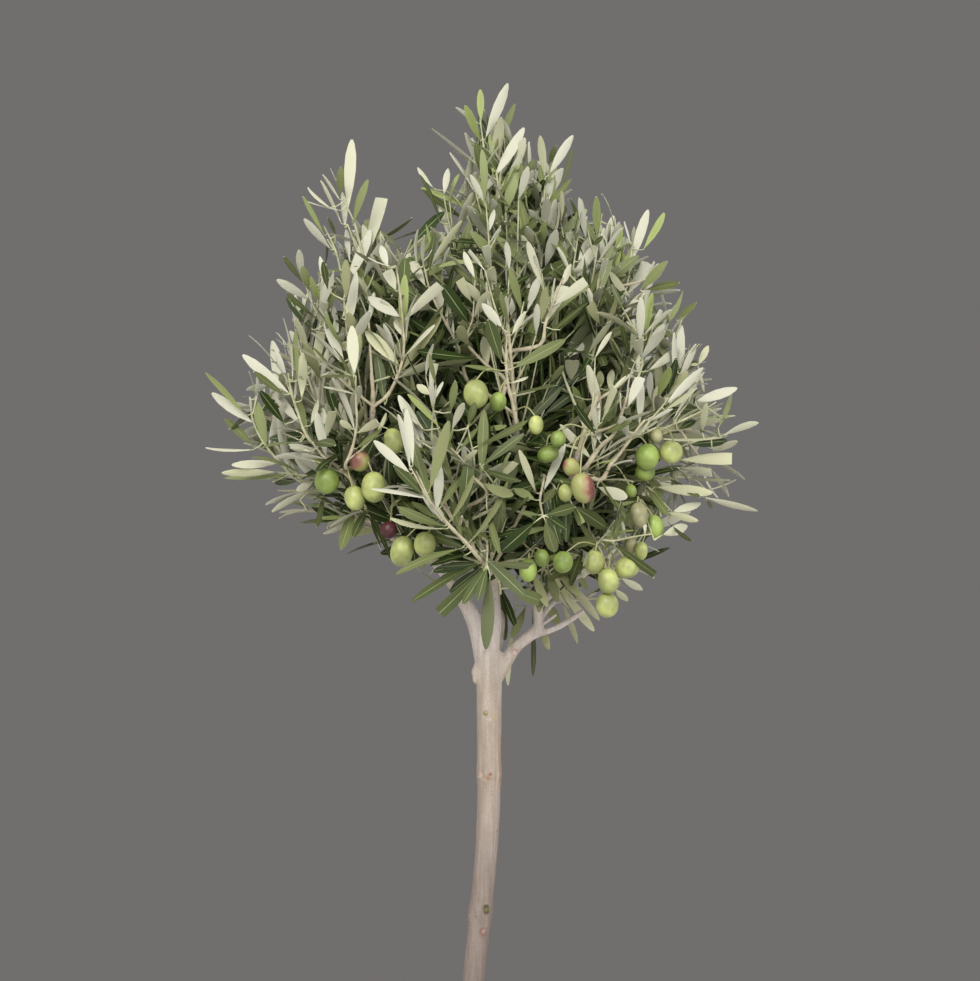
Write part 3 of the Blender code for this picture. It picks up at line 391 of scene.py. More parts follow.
    (478, 561, 411, 602, 9, "o1"), (485, 567, 439, 612, 11, "o1c"), (490, 575, 486, 649, 15, "u5"),
    (480, 553, 525, 596, 14, "o1"), (487, 562, 530, 565, 10, "o2c"), (508, 588, 546, 603, 14, "o2", -110),
    (500, 555, 535, 521, 12, "o0"), (503, 558, 535, 537, 9, "o1"), (481, 551, 467, 508, 8, "o1"),
    (501, 556, 491, 511, 7, "o1"), (482, 469, 520, 481, 7, "o1"), (482, 483, 513, 496, 12, "u4"),
    (482, 466, 524, 434, 10, "o1"), (478, 446, 527, 421, 5, "o2"), (481, 478, 484, 410, 11, "o2"),
    (460, 450, 478, 428, 6, "o2"), (465, 460, 477, 450, 6, "u2"), (536, 493, 519, 450, 7, "u2"),
    (543, 492, 565, 444, 8, "u0"), (541, 482, 541, 458, 11, "o0"), (535, 500, 515, 489, 10, "o3"),
    (543, 503, 554, 489, 9, "o2"), (546, 515, 575, 507, 11, "o1"), (545, 520, 555, 552, 13, "o2"),
    (539, 515, 519, 512, 5, "o2"), (548, 517, 566, 529, 8, "o0"), (451, 412, 455, 381, 9, "o3"),
    (452, 430, 464, 403, 8, "u1"), (468, 425, 475, 402, 8, "o2"), (433, 408, 431, 380, 6, "u0"),
    (433, 404, 443, 382, 4, "u0"), (430, 395, 417, 385, 8, "u2"), (436, 385, 430, 354, 5, "o3"),
    (424, 430, 405, 408, 5, "u1"), (440, 428, 408, 394, 6, "o4"), (516, 393, 557, 385, 4, "o1"),
    (511, 383, 528, 377, 3, "u1"), (545, 570, 575, 612, 7, "u2"), (556, 585, 594, 631, 8, "u2"),
    (562, 575, 599, 620, 9, "u2"), (562, 602, 577, 643, 8, "u2"), (542, 598, 560, 625, 12, "u4"),
    (355, 506, 341, 549, 12, "o2"), (367, 508, 353, 537, 9, "o1"), (370, 516, 381, 549, 5, "o1"),
    (480, 563, 437, 567, 8, "o0"), (483, 566, 450, 592, 10, "o0"), (485, 569, 463, 604, 10, "o1"),
    (478, 562, 433, 571, 10, "o0"), (480, 563, 438, 581, 10, "o1"), (466, 555, 430, 565, 8, "o0"),
    (487, 568, 478, 600, 9, "o1"), (536, 521, 501, 552, 16, "o0"), (536, 537, 507, 557, 12, "o1"),
    (487, 510, 500, 554, 8, "o2"), (583, 549, 571, 580, 8, "o1"), (597, 545, 583, 566, 7, "u4"),
    (621, 578, 642, 590, 8, "u1"), (615, 589, 627, 601, 8, "u2"),
    # low, in front of the bough there, with the depth of their twig
    (541, 566, 567, 598, 7, "u3", -54), (555, 568, 580, 596, 8, "u3", -54),
    (569, 562, 588, 590, 7, "u4", -54), (580, 552, 570, 586, 8, "o1", -54),
    (590, 556, 583, 578, 8, "u1", -54), (548, 570, 557, 601, 10, "u4", -54),
    (600, 560, 604, 588, 7, "o2", -54), (574, 560, 560, 590, 6, "o0", -54),
    (533, 572, 547, 607, 10, "u3", -54), (541, 575, 539, 612, 9, "u4", -54),
    # behind the limbs, between and below them
    (534, 606, 549, 650, 9, "u3", 16), (532, 610, 533, 676, 3, "o1", 16), (514, 622, 508, 685, 7, "u2", 17),
    (526, 606, 512, 638, 9, "u4", 17), (500, 590, 505, 640, 9, "o1", 18), (500, 586, 516, 628, 8, "o0", 18),
)
SEEN_SEED = 5
SEEN_LENGTH = 0.046  # shorter ones among them point to the viewer
SEEN_SWING = 0.25  # of their length, how far the others leave the picture's plane
SEEN_DEEPEST = 0.8  # of the length that shows, how far any leaves the picture's plane
SEEN_TOWARD = 0.7  # share of them that come towards the viewer
SEEN_PALE_TOWARD = 0.2  # the same for upright ones that show a bright underside
SEEN_WIDTH = 0.165  # least real width, of the length
SEEN_CUT = 0.74  # share of its length that a clipped one keeps
SEEN_DEPTH = 6  # column of the depth, where a leaf has one
SEEN_HIDDEN = 3  # how many tones there are for the side that doesn't show
SEEN_STALK = 0.0012  # further than this from its twig, a leaf has a spur of its own
SEEN_STALK_RADII = (0.75 * MM, 0.5 * MM)
SEEN_STALK_ELBOW, SEEN_STALK_BOW = 0.6, 0.12  # shares of the spur's length
SEEN_SET_BACK = 0.43  # of a leaf's bend, so that its tip ends at its pixel
SEEN_BENDS = (-0.25, 0.45)
SEEN_ROLLS = (-0.35, 0.35)
BARE_LEADER_RADIUS = 1.75 * MM  # thicker leaders stay in sight
SIGHT_LEAF_HALF = 0.004  # half width of a leaf, where it may cover something
SIGHT_TAPER = 0.1  # of its length, cut off each end of the sine that a strip's width follows
# Limbs that stay in sight below a height in millimetres
BARE_LIMBS = {
    "trunk": 700,
    "limb_left": 684,
    "limb_centre": 676,
    "limb_right": 672,
    "pruned_stub": 700,
    "pruned_twig": 700,
}
SIGHT_CELL = 2  # pixels
SIGHT_COVER = 0.2  # share of itself with which a leaf may cover what stands out
LEADER_COVER, TWIG_COVER = 0.4, 0.35  # the same for the leaves of leaders, and for twigs
OLIVE_COVER = 0.06  # the same over olives
TWIG_HALF = 0.0012  # half width of a twig, where it may cover something

# Leaves at their real size
LEAF_LENGTHS = (0.044, 0.064)
LEAF_WIDTHS = (0.160, 0.222)  # of the length
LEAF_THICKNESS = 0.45 * MM
LEAF_PETIOLE = 0.06  # of the length
LEAF_PETIOLE_WIDTH = 1.1 * MM
LEAF_RINGS = (0.0, 0.06, 0.16, 0.36, 0.58, 0.79, 0.94, 1.0)
LEAF_FOLD = 0.16  # how far its margins stand above its midrib, of the half width
LEAF_CURL = 0.10  # how far its very margins roll back
LEAF_BLUNT = 0.20  # half width at the very tip, of the leaf's half width
LEAF_RIB = 0.055  # half width of the midrib, of the leaf's half width
LEAF_BENDS = (-0.20, 0.60)  # radians from root to tip, backwards
LEAF_TWISTS = (-0.5, 0.5)
LEAF_ROLL = 0.60  # radians to each side, round its own way
LEAF_CUT_CHANCE = 0.11  # clipped across by the shears
LEAF_CUTS = (0.55, 0.86)
LEAF_FREE_FROM, LEAF_CLEAR = 0.2, 0.5 * MM  # a leaf keeps so clear of limbs, but for its root
LEAF_SEAT = 0.6  # of its twig's radius, how far out from the twig's middle a leaf starts
PAIR_SPACING = 0.0165
PAIR_TURN, PAIR_VARIES = 0.30, 0.25  # radians by which a pair, and a leaf, is off its place
PAIR_DROOP_BELOW, PAIR_DROOP = 0.3, 0.5  # leaves hang where twigs lift less than the first
TIP_SIZES = (0.55, 0.80, 0.95)  # the youngest pairs, from the tip down
LEAF_SPREADS = (17.0, 46.0)  # degrees from the twig, at its tip and further down
LEAF_SPREAD_FROM, LEAF_SPREAD_PAIRS = 0.3, 3  # where the first pair is between them, over how many
LEAF_SPREAD_VARIES, LEAF_SPREAD_LEAST = 11.0, 4.0
FIRST_LEAF = {"stem": 0.45, "lateral": 0.30, "shoot": 0.22}  # share of the twig that is bare
BUD_CHANCE = 0.30  # of a pair of small leaves in an axil
BUD_LENGTHS = (0.012, 0.030)
BUD_LEAN, BUD_SPREAD, BUD_AGE = 30.0, 20.0, 0.6
HEAD_AXIS = Vector((0.020, 0.040, 0.0))
FACE_IN = (1.05, 0.50)  # mean and spread of how far upper sides turn to the head's axis
FACE_LEVELS = (0.72, 0.84)  # none turn so below the first height, all above the second
FACE_LOW = -0.35  # the same for the leaves that turn outwards
FACE_UP, FACE_UP_RATE, FACE_UP_LIMITS = 0.50, 0.45, (0.05, 0.9)  # share of the sky, less on steep twigs
FACE_DEEP = (0.45, 0.80)  # shares of the outline: as if low inside the first
SHADE_FROM, SHADE_OVER = 0.80, 0.34  # shares of the outline from which painted shade darkens leaves inwards
SHADE_LEVELS, SHADE_TOP = (0.88, 0.98), 0.85  # heights between which that painted shade grows weaker, and by how much, for painted light from above

# Base colours of the leaves: upper sides, undersides, midribs and stalks. The darker upper tones are
# partly the leaves' own and partly painted shade; the last three under tones are painted shade on the pale
# undersides.
UPPER_TONES_AND_SHADE = (
    (0.020, 0.038, 0.004),
    (0.066, 0.086, 0.025),
    (0.132, 0.155, 0.054),
    (0.218, 0.252, 0.100),
    (0.290, 0.345, 0.120),
)
UNDER_TONES_AND_SHADE = (
    (0.490, 0.486, 0.385),
    (0.490, 0.487, 0.360),
    (0.465, 0.465, 0.305),
    (0.360, 0.370, 0.195),
    (0.200, 0.216, 0.100),
    (0.108, 0.122, 0.060),
)
RIB_TONE = (0.255, 0.285, 0.130)
# Which tone a leaf has: means and spreads over the rows above, and how painted shade and painted light from
# above (by height) move them
UPPER_MEAN, UPPER_PAINTED_LIGHT, UPPER_SHADE = 1.9, 0.9, 1.7
UPPER_SPREAD, UPPER_SPREAD_SHADE = 1.0, 0.5
UNDER_MEAN, UNDER_SHADE, UNDER_SPREAD = 0.2, 4.4, 0.8
YOUNG_AGE, YOUNG_CHANCE = 0.75, 0.35  # smaller leaves may have the last, yellower upper tone

# Olives that the photograph shows: depth, pixel, width and length in pixels, tint
SEEN_FRUIT = (
    (-172, 476, 394, 25, 29, "lime"), (-150, 498, 402, 17, 20, "green"), (-168, 536, 425, 15, 19, "lime"),
    (-160, 558, 439, 16, 17, "green"), (-146, 548, 454, 22, 17, "green"), (-172, 571, 467, 17, 19, "blush"),
    (-150, 565, 493, 14, 18, "lime"), (-188, 583, 488, 24, 31, "flushed"),
    (-60, 656, 436, 13, 15, "bronze"), (-112, 647, 457, 24, 27, "green"), (-108, 671, 452, 24, 22, "lime"),
    (-100, 645, 472, 20, 18, "green"), (-100, 631, 491, 11, 14, "green"),
    (-108, 639, 515, 18, 26, "bronze"), (-98, 655, 527, 17, 25, "green"), (-98, 641, 551, 13, 19, "lime"),
    (-90, 631, 546, 14, 18, "bronze"), (-106, 627, 567, 25, 22, "lime"), (-116, 594, 562, 20, 24, "lime"),
    (-118, 608, 581, 21, 26, "lime"), (-112, 607, 605, 23, 25, "lime"), (-140, 563, 562, 20, 22, "green"),
    (-128, 542, 558, 15, 18, "green"), (-146, 528, 570, 18, 24, "green"), (-108, 327, 481, 25, 26, "green"),
    (-120, 360, 461, 21, 21, "blush"), (-128, 374, 487, 25, 31, "lime"), (-120, 355, 498, 21, 25, "lime"),
    (-132, 394, 441, 20, 26, "lime"), (-116, 389, 530, 17, 18, "dark"), (-128, 402, 551, 23, 31, "lime"),
    (-142, 425, 544, 22, 25, "lime"),
)
# Olives at the back: place, width and length in millimetres, tint
BACK_FRUIT = (
    (-130, 150, 836, 21, 25, "green"), (-60, 190, 770, 22, 26, "lime"), (70, 196, 812, 21, 25, "green"),
    (160, 158, 826, 22, 25, "blush"), (120, 120, 762, 21, 24, "green"), (-150, 60, 800, 20, 23, "lime"),
)
# Colours of their skins. The stops below them paint the two that are partly red.
FRUIT_TINTS = {
    "green": (0.200, 0.270, 0.060),
    "lime": (0.350, 0.385, 0.130),
    "blush": (0.310, 0.305, 0.125),
    "flushed": (0.310, 0.305, 0.125),
    "bronze": (0.300, 0.290, 0.150),
    "dark": (0.055, 0.013, 0.016),
}
BLUSH_STOPS = (
    (0.36, (0.150, 0.050, 0.045)),
    (0.44, (0.290, 0.150, 0.090)),
    (0.52, (0.310, 0.325, 0.110)),
)
# A flushed olive is red on its right side, by its normal's X
FLUSH_STOPS = (
    (0.42, (0.300, 0.315, 0.110)),
    (0.58, (0.310, 0.200, 0.110)),
    (0.72, (0.190, 0.062, 0.050)),
    (0.88, (0.120, 0.030, 0.032)),
)
FLUSH_SHARE = 0.42  # of the normal, the rest is noise
FRUIT_SIDES, FRUIT_RINGS = 22, 14
FRUIT_DOTS, FRUIT_DOT_TONE = 0.22, (0.560, 0.580, 0.330)
SKIN_PLACES, DOT_PLACES = (0.38, 0.52, 0.68), (0.64, 0.70)  # on their ramps
STALK_RADIUS = 0.65 * MM
STALK_LONGEST = 0.060  # an olive further than this from every twig has no stalk
OLIVE_CLEAR = 0.060  # how far out from an olive no leaf covers it
LEAF_WIDTH_SPARE = 0.003  # that leaves keep from an olive, for their own width

# Camera: level, in front of the head, with the photograph's framing
CAMERA_PLACE = (0.0209, -2.2, 0.775)
VIEW_WIDTH = 0.931  # of the plane Y = 0
PHOTO_WIDTH = 980
PHOTO_MIDDLE = (490.0, 490.5)
SENSOR = 36.0
CAMERA_REACH = 50.0


# ------------------------------------------------------------------ lines: lists of (point, radius)


def between(limits, share):
    """The value at a share of the way from one limit to the other."""
    return limits[0] + (limits[1] - limits[0]) * share


def share_of(limits, value):
    """How far a value is from one limit to the other, eased and kept between 0 and 1."""
    return smoothstep((value - limits[0]) / (limits[1] - limits[0]))


def smoothstep(share):
    """From 0 to 1, level at both ends."""
    share = min(max(share, 0.0), 1.0)
    return share * share * (3.0 - 2.0 * share)


def through(stops, step):
    """A line with a point about every step on the smooth Catmull-Rom curve through the stops."""
    points = [point for point, _ in stops]
    ends = [2 * points[0] - points[1], *points, 2 * points[-1] - points[-2]]
    found = [stops[0]]
    for i in range(len(stops) - 1):
        before, start, end, after = ends[i : i + 4]
        count = max(1, round((end - start).length / step))
        for part in range(1, count + 1):
            t = part / count
            bend = (2 * before - 5 * start + 4 * end - after) * t**2
            bend += (3 * start - before - 3 * end + after) * t**3
            radius = stops[i][1] + (stops[i + 1][1] - stops[i][1]) * t
            found.append(((2 * start + (end - before) * t + bend) / 2, radius))
    return found


def tapered(points, first, last):
    """A line whose radius goes evenly from first to last."""
    most = len(points) - 1
    return [(point, first + (last - first) * i / most) for i, point in enumerate(points)]


def seen_at(across_, down, depth):
    """The place at a depth Y in millimetres that the camera sees at a pixel of the photograph."""
    pixel = VIEW_WIDTH / PHOTO_WIDTH * (1 - depth * MM / CAMERA_PLACE[1])
    x = CAMERA_PLACE[0] + (across_ - PHOTO_MIDDLE[0]) * pixel
    return Vector((x, depth * MM, CAMERA_PLACE[2] + (PHOTO_MIDDLE[1] - down) * pixel))


def pixel_of(point):
    """(across, down) of the photograph's pixel where the camera sees a place."""
    pixel = VIEW_WIDTH / PHOTO_WIDTH * (1 - point.y / CAMERA_PLACE[1])
    across_ = PHOTO_MIDDLE[0] + (point.x - CAMERA_PLACE[0]) / pixel
    return across_, PHOTO_MIDDLE[1] - (point.z - CAMERA_PLACE[2]) / pixel


def direction_at(line, index):
    """The direction in which a line passes one of its points."""
    before, after = max(index - 1, 0), min(index + 1, len(line) - 1)
    return (line[after][0] - line[before][0]).normalized()


def length_of(line):
    """The length of a line, over its points."""
    return sum((b[0] - a[0]).length for a, b in zip(line, line[1:]))


def place_on(line, share):
    """(point, direction, radius) at a share of the line's length."""
    steps = [(b[0] - a[0]).length for a, b in zip(line, line[1:])]
    left, index = share * sum(steps), 0
    while left > steps[index] and index < len(steps) - 1:
        left -= steps[index]
        index += 1
    (start, thick), (end, thin) = line[index], line[index + 1]
    part = left / steps[index]
    return start.lerp(end, part), (end - start).normalized(), thick + (thin - thick) * part


def across(direction):
    """Two unit vectors square to a direction and to each other."""
    side = direction.cross(UP)
    if side.length < NEARLY_UPRIGHT:
        side = direction.cross(Vector((1.0, 0.0, 0.0)))
    side.normalize()
    return side, direction.cross(side)


def leaning(way, azimuth, degrees):
    """A direction that many degrees from way, on the side that the azimuth names."""
    side, other = across(way)
    angle = math.radians(degrees)
    return way * math.cos(angle) + (side * math.cos(azimuth) + other * math.sin(azimuth)) * math.sin(angle)


def trunk_radius(height):
    """Radius at a height above the soil: a slight waist, the root flare and the old leaf joints."""
    share = height / (FORK_HEIGHT - SOIL_LEVEL)
    below, above = (1 - share) ** 2, share**2
    middle = 2 * TRUNK_WAIST_RADIUS - (TRUNK_FOOT_RADIUS + TRUNK_FORK_RADIUS) / 2
    radius = below * TRUNK_FOOT_RADIUS + (1 - below - above) * middle + above * TRUNK_FORK_RADIUS
    radius += FLARE_RADIUS * math.exp(-height / FLARE_HEIGHT)
    for joint, swell in TRUNK_JOINTS:
        radius += swell * math.exp(-(((height - joint) / JOINT_LENGTH) ** 2))
    return radius


def trunk_line(step):
    """The trunk from the soil to its fork."""
    length = FORK_HEIGHT - SOIL_LEVEL
    steps = round(length / step)
    line = []
    for i in range(steps + 1):
        height = length * i / steps
        share = height / length
        x = TRUNK_LEAN * smoothstep(share / TRUNK_LEAN_DONE)
        y = TRUNK_SWAY * math.sin(math.pi * share) ** 2
        line.append((Vector((x, y, SOIL_LEVEL + GAP + height)), trunk_radius(height)))
    fork, radius = line[-1]
    return line + [(fork + UP * rise, radius * share) for rise, share in TRUNK_END]


def limb_line(spec, lines):
    """A limb's line from inside what it grows from to its tip."""
    (parent, share, radius), stops = spec
    root = place_on(lines[parent], share)[0], radius * MM
    return through([root, *((Vector(stop[:3]) * MM, stop[3] * MM) for stop in stops)], LIMB_STEP)


def limb_lines():
    """Every trunk, limb and bough by name, as in the source."""
    lines = {"trunk": trunk_line(TRUNK_STEP)}
    for name, spec in LIMBS.items():
        lines[name] = limb_line(spec, lines)
    return lines


def stem_line(name, lines):
    """A mass's stem, as in the source."""
    bough, _, _, reach, _ = MASSES[name]
    line = lines[bough]
    way = (line[-1][0] - line[-2][0]).normalized()
    root = line[-1][0] + way * GAP
    start = root + way * STEM_STRAIGHT
    reach = Vector(reach) * MM
    tip = reach - (reach - start).normalized() * STEM_LEAF
    points = [root, start]
    for i in range(1, STEM_STEPS + 1):
        t = i / STEM_STEPS
        straight = start + (tip - start) * t * t * (2 - t)
        points.append(straight + way * (tip - start).length * t * (1 - t) ** 2)
    return tapered(points, min(STEM_RADII[0], line[-1][1]), STEM_RADII[1])


# ------------------------------------------------------------------ growth


def segment_distance(a, b, c, d):
    """The distance between the segments ab and cd."""
    u, v, w = b - a, d - c, a - c
    uu, uv, vv, uw, vw = u.dot(u), u.dot(v), v.dot(v), u.dot(w), v.dot(w)
    slant = uu * vv - uv * uv
    s = min(max((uv * vw - vv * uw) / slant, 0.0), 1.0) if slant > PARALLEL else 0.0
    t = min(max((uv * s + vw) / vv, 0.0), 1.0)
    s = min(max((uv * t - uw) / uu, 0.0), 1.0)
    return (w + u * s - v * t).length


BALLS = [(Vector(row[1]) * MM, row[2] * MM) for row in MASSES.values()]


def fruit_rows():
    """(centre, width, length, tint) of every olive, in metres."""
    found = []
    for depth, across_, down, width, length, tint in SEEN_FRUIT:
        centre = seen_at(across_, down, depth)
        pixel = (seen_at(across_ + 1, down, depth) - centre).length
        found.append((centre, width * pixel, length * pixel, tint))
    return found + [(Vector(row[:3]) * MM, row[3] * MM, row[4] * MM, row[5]) for row in BACK_FRUIT]


def outward_at(point):
    """The level direction out of the head at a point."""
    return Vector((point.x - HEAD_AXIS.x, point.y - HEAD_AXIS.y, 0.0)).normalized()


def olive_room():
    """(centre, a place further out, radius) of each olive, to keep leaves off it and from before it."""
    found = []
    for centre, width, _, _ in fruit_rows():
        found.append((centre, centre + outward_at(centre) * OLIVE_CLEAR, width / 2 + LEAF_WIDTH_SPARE))
    return found


OLIVE_ROOM = olive_room()


def level_on(line, across_):
    """The height of a line of pixels at a place across the picture."""
    for (x0, y0), (x1, y1) in zip(line, line[1:]):
        if x0 <= across_ < x1:
            return y0 + (y1 - y0) * (across_ - x0) / (x1 - x0)
    return line[0][1] if across_ < line[0][0] else line[-1][1]


def within_edges(point):
    """Whether a point lies within the head's edge in the photograph."""
    across_, down = pixel_of(point)
    return level_on(SKYLINE, across_) < down < level_on(FOOTLINE, across_)


def in_hollow(point):
    """Whether a point lies in the dark hollow."""
    centre, sizes = HOLLOW
    return sum(((value / MM - middle) / size) ** 2 for value, middle, size in zip(point, centre, sizes)) < 1


class Space:
    """The part of the head that one mass keeps to: its ball, short of the planes in which the balls
    round it cross it. Fine twigs and leaves may pass the planes, but not the ball."""

    front, back = 0.0, 0.0  # how far forward and back leaves may reach; set from the frame

    def __init__(self, name, lines, stems):
        self.centre = Vector(MASSES[name][1]) * MM
        self.radius = MASSES[name][2] * MM
        self.planes = []
        for other, (_, centre, radius, _, _) in MASSES.items():
            if other != name:
                apart = Vector(centre) * MM - self.centre
                share = (self.radius**2 - (radius * MM) ** 2) / apart.length_squared
                self.planes.append((apart.normalized(), apart.length * (1 + share) / 2))
        others = [stem for other, stem in stems.items() if other != name]
        self.limbs = [
            (start[0], end[0], max(start[1], end[1]))
            for line in [*lines.values(), *others]
            for start, end in zip(line, line[1:])
            if (start[0] - self.centre).length < 2 * self.radius
        ]

    def in_head(self, point, margin=0.0):
        """Whether a point is in one of the balls, or between them deep in the head."""
        if point.z > BOUGH_SHOOT_LEVEL and outline_share(point) < INNER_SHARE:
            return True
        return any((point - centre).length < radius - margin for centre, radius in BALLS)

    def takes_leaf(self, root, tip, limit, cover=SIGHT_COVER):
        """Whether a leaf may stand there: in the head, clear of limbs and hiding nothing."""
        free = self.in_head(tip, -REACH_SPARE) and outline_share(tip) < limit and within_edges(tip)
        free = free and Space.front < tip.y < Space.back
        free = free and not (in_hollow(tip) or in_hollow(root))
        free = free and self.clear_of_limbs(root.lerp(tip, LEAF_FREE_FROM), tip, LEAF_CLEAR)
        free = free and SIGHT.covered(root, tip, SIGHT_LEAF_HALF) < cover
        free = free and OLIVE_SIGHT.covered(root, tip, SIGHT_LEAF_HALF) < OLIVE_COVER
        return free and all(segment_distance(root, tip, *olive[:2]) > olive[2] for olive in OLIVE_ROOM)

    def room(self, point):
        """How far within the mass's own ball and planes a point lies."""
        offset = point - self.centre
        return min([self.radius - offset.length] + [far - offset.dot(way) for way, far in self.planes])

    def holds(self, points, margin):
        """Whether all the points lie that far within."""
        return all(self.room(point) > margin for point in points)

    def clear_of_limbs(self, start, end, reach):
        """Whether something of that radius passes every limb and every other stem."""
        return all(segment_distance(start, end, a, b) > thick + reach + GAP for a, b, thick in self.limbs)


def lateral_lines(name, stem, space):
    """The laterals of a stem, as in the source."""
    rng = random.Random(MASSES[name][4])
    count = round(space.radius / BALL_PER_LATERAL)
    found = []
    for i in range(count):
        part = i / (count - 1)
        full = between(LATERAL_LENGTHS, part)
        start, way, _ = place_on(stem, between(LATERAL_SHARES, part))
        azimuth = GOLDEN_ANGLE * i + rng.uniform(-LATERAL_TURN, LATERAL_TURN)
        out = leaning(way, azimuth, rng.uniform(*LATERAL_SPREAD))
        full *= space.radius * rng.uniform(*LATERAL_VARIES)
        for shorter in LATERAL_TRIES:
            elbow = start + out * full * shorter / 2
            end = elbow + (out + UP * lift_at(start.z)).normalized() * full * shorter / 2
            free = space.clear_of_limbs(start + out * LATERAL_CROTCH, elbow, LATERAL_RADII[0])
            free = free and space.clear_of_limbs(elbow, end, LATERAL_RADII[0])
            if free and space.holds((elbow, end), LATERAL_MARGIN):
                found.append(tapered([start, elbow, end], *LATERAL_RADII))
                break
    return found


def lift_at(height):
    """How far twigs at a height turn upwards, or droop."""
    return min(max((height - LIFT_LEVEL) * LIFT_RATE, LIFT_LIMITS[0]), LIFT_LIMITS[1])


def outline_share(point):
    """How far out a point lies, where 1 is on the head's outline."""
    height = point.z / MM
    rows = [row for row in zip(OUTLINE, OUTLINE[1:]) if row[0][0] <= height < row[1][0]]
    if not rows:
        return FAR
    (low, narrow), (high, wide) = rows[0]
    radius = narrow + (wide - narrow) * (height - low) / (high - low)
    x, y = point.x - OUTLINE_CENTRE[0], (point.y - OUTLINE_CENTRE[1]) / OUTLINE_DEPTH
    return math.hypot(x, y) / (radius * MM)


def shoots_on(line, step, rng, space, inner=False):
    """Shoots along a twig. They turn out of the head and up, and end near its outline. Inner ones
    go any way and stay deep in the head."""
    count = max(1, round(length_of(line) / step))
    found = []
    for i in range(count):
        share = SHOOT_SHARES[0] + (SHOOT_SHARES[1] - SHOOT_SHARES[0]) * (i + rng.random()) / count
        start, way, radius = place_on(line, share)
        chance = Vector([rng.uniform(-1, 1) for _ in range(3)])
        outward = (start - SHOOT_HEART).normalized()
        full = rng.uniform(*SHOOT_LENGTHS)
        limit = rng.uniform(*(INNER_LIMITS if inner else OUTLINE_VARIES))
        if start.z < BOUGH_SHOOT_LEVEL:
            continue
        pulls = INNER_PULLS if inner else SHOOT_PULLS
        out = way * pulls[0] + outward * pulls[1] + chance * pulls[2]
        out = (out + UP * (lift_at(start.z) + SHOOT_LIFT) * SHOOT_LIFT_SHARE).normalized()
        for shorter in LATERAL_TRIES:
            length = full * shorter
            middle = start + out * (radius + length / 2)
            end = middle + (out + UP * (lift_at(start.z) + SHOOT_BOW)).normalized() * length / 2
            inside = space.in_head(end, SHOOT_MARGIN) and outline_share(end) < limit - SHOOT_EDGE
            inside = inside and not hides([(start, 0), (middle, 0), (end, 0)], TWIG_COVER)
            if inside and space.clear_of_limbs(middle, end, SHOOT_RADII[0]):
                found.append((tapered([start, middle, end], *SHOOT_RADII), limit))
                break
    return found


def side_shoots(line, first, count, rng):
    """Short shoots in the axils of a leader."""
    found = []
    for i in range(count):
        start, way, _ = place_on(line, first + (SIDE_SHOOT_END - first) * (i + rng.random()) / count)
        out = leaning(way, GOLDEN_ANGLE * i + rng.uniform(0, math.tau), rng.uniform(*SIDE_SHOOT_SPREAD))
        length = rng.uniform(*SIDE_SHOOT_LENGTHS)
        middle = start + out * length / 2
        end = middle + (out + way * SIDE_SHOOT_RISE).normalized() * length / 2
        found.append(tapered([start, middle, end], *SHOOT_RADII))
    return found


class Leader:
    """A leading shoot: its line and the share of it where its leaves begin."""

    def __init__(self, places, radius, front):
        self.places, self.radius, self.front = places, radius, front
        self.seen = []

    def grow_from(self, spots):
        """Carries the shoot on from its base to the best of the spots."""
        base, tip = self.places[0], self.places[-1]
        way = (tip - base).normalized()

        def cost(spot):
            """How far a spot is, more so if it lies ahead of the base."""
            ahead = (spot - base).dot(way) + ROOT_SPARE
            return (spot - base).length + ROOT_AHEAD * max(0.0, ahead)

        root = min(spots, key=cost)
        self.line = through(tapered([root, *self.places], self.radius, LEADER_TIP_RADIUS), TWIG_STEP)
        self.first = (base - root).length / length_of(self.line)

    def at_depth(self, depth):
        """Whether the shoot starts at a depth in millimetres."""
        return self.places[0].y == seen_at(0, 0, depth).y

    def distance(self, pixel):
        """(pixels from the shoot as it is seen, the place on it)."""
        best = None
        for start, end in zip(self.places, self.places[1:]):
            for part in range(LEADER_PARTS + 1):
                place = start.lerp(end, part / LEADER_PARTS)
                apart = math.dist(pixel_of(place), pixel)
                if best is None or apart < best[0]:
                    best = apart, place
        return best


class Sight:
    """What stands out in the photograph, as the depth at which it is met in each cell of the picture."""

    def __init__(self):
        self.cells = {}

    def strip(self, start, end, half):
        """(cell, depth) over a strip that many metres wide to each side."""
        a, b = pixel_of(start), pixel_of(end)
        long_ = max(math.dist(a, b), 1.0)
        side = ((a[1] - b[1]) / long_, (b[0] - a[0]) / long_)
        reach = half / (VIEW_WIDTH / PHOTO_WIDTH)
        along, beside = max(2, round(long_)), max(1, round(reach))
        for i in range(along + 1):
            share = i / along
            width = reach * math.sin(math.pi * (SIGHT_TAPER + (1 - 2 * SIGHT_TAPER) * share))
            for j in range(-beside, beside + 1):
                x = a[0] + (b[0] - a[0]) * share + side[0] * width * j / beside
                y = a[1] + (b[1] - a[1]) * share + side[1] * width * j / beside
                yield (int(x / SIGHT_CELL), int(y / SIGHT_CELL)), start.y + (end.y - start.y) * share

    def add(self, start, end, half):
        """Notes a strip that stands out."""
        for cell, depth in self.strip(start, end, half):
            self.cells[cell] = min(depth, self.cells.get(cell, depth))

    def covered(self, start, end, half):
        """The share of a strip that would hide what stands out."""
        found = [depth < self.cells.get(cell, -FAR) for cell, depth in self.strip(start, end, half)]
        return sum(found) / len(found)


SIGHT, OLIVE_SIGHT = Sight(), Sight()


def hides(line, room):
    """Whether a twig crosses an olive, or much that stands out, in the photograph's view."""
    parts = list(zip(line, line[1:]))
    olive = max(OLIVE_SIGHT.covered(start[0], end[0], TWIG_HALF) for start, end in parts)
    other = sum(SIGHT.covered(start[0], end[0], TWIG_HALF) for start, end in parts) / len(parts)
    return olive > OLIVE_COVER or other > room


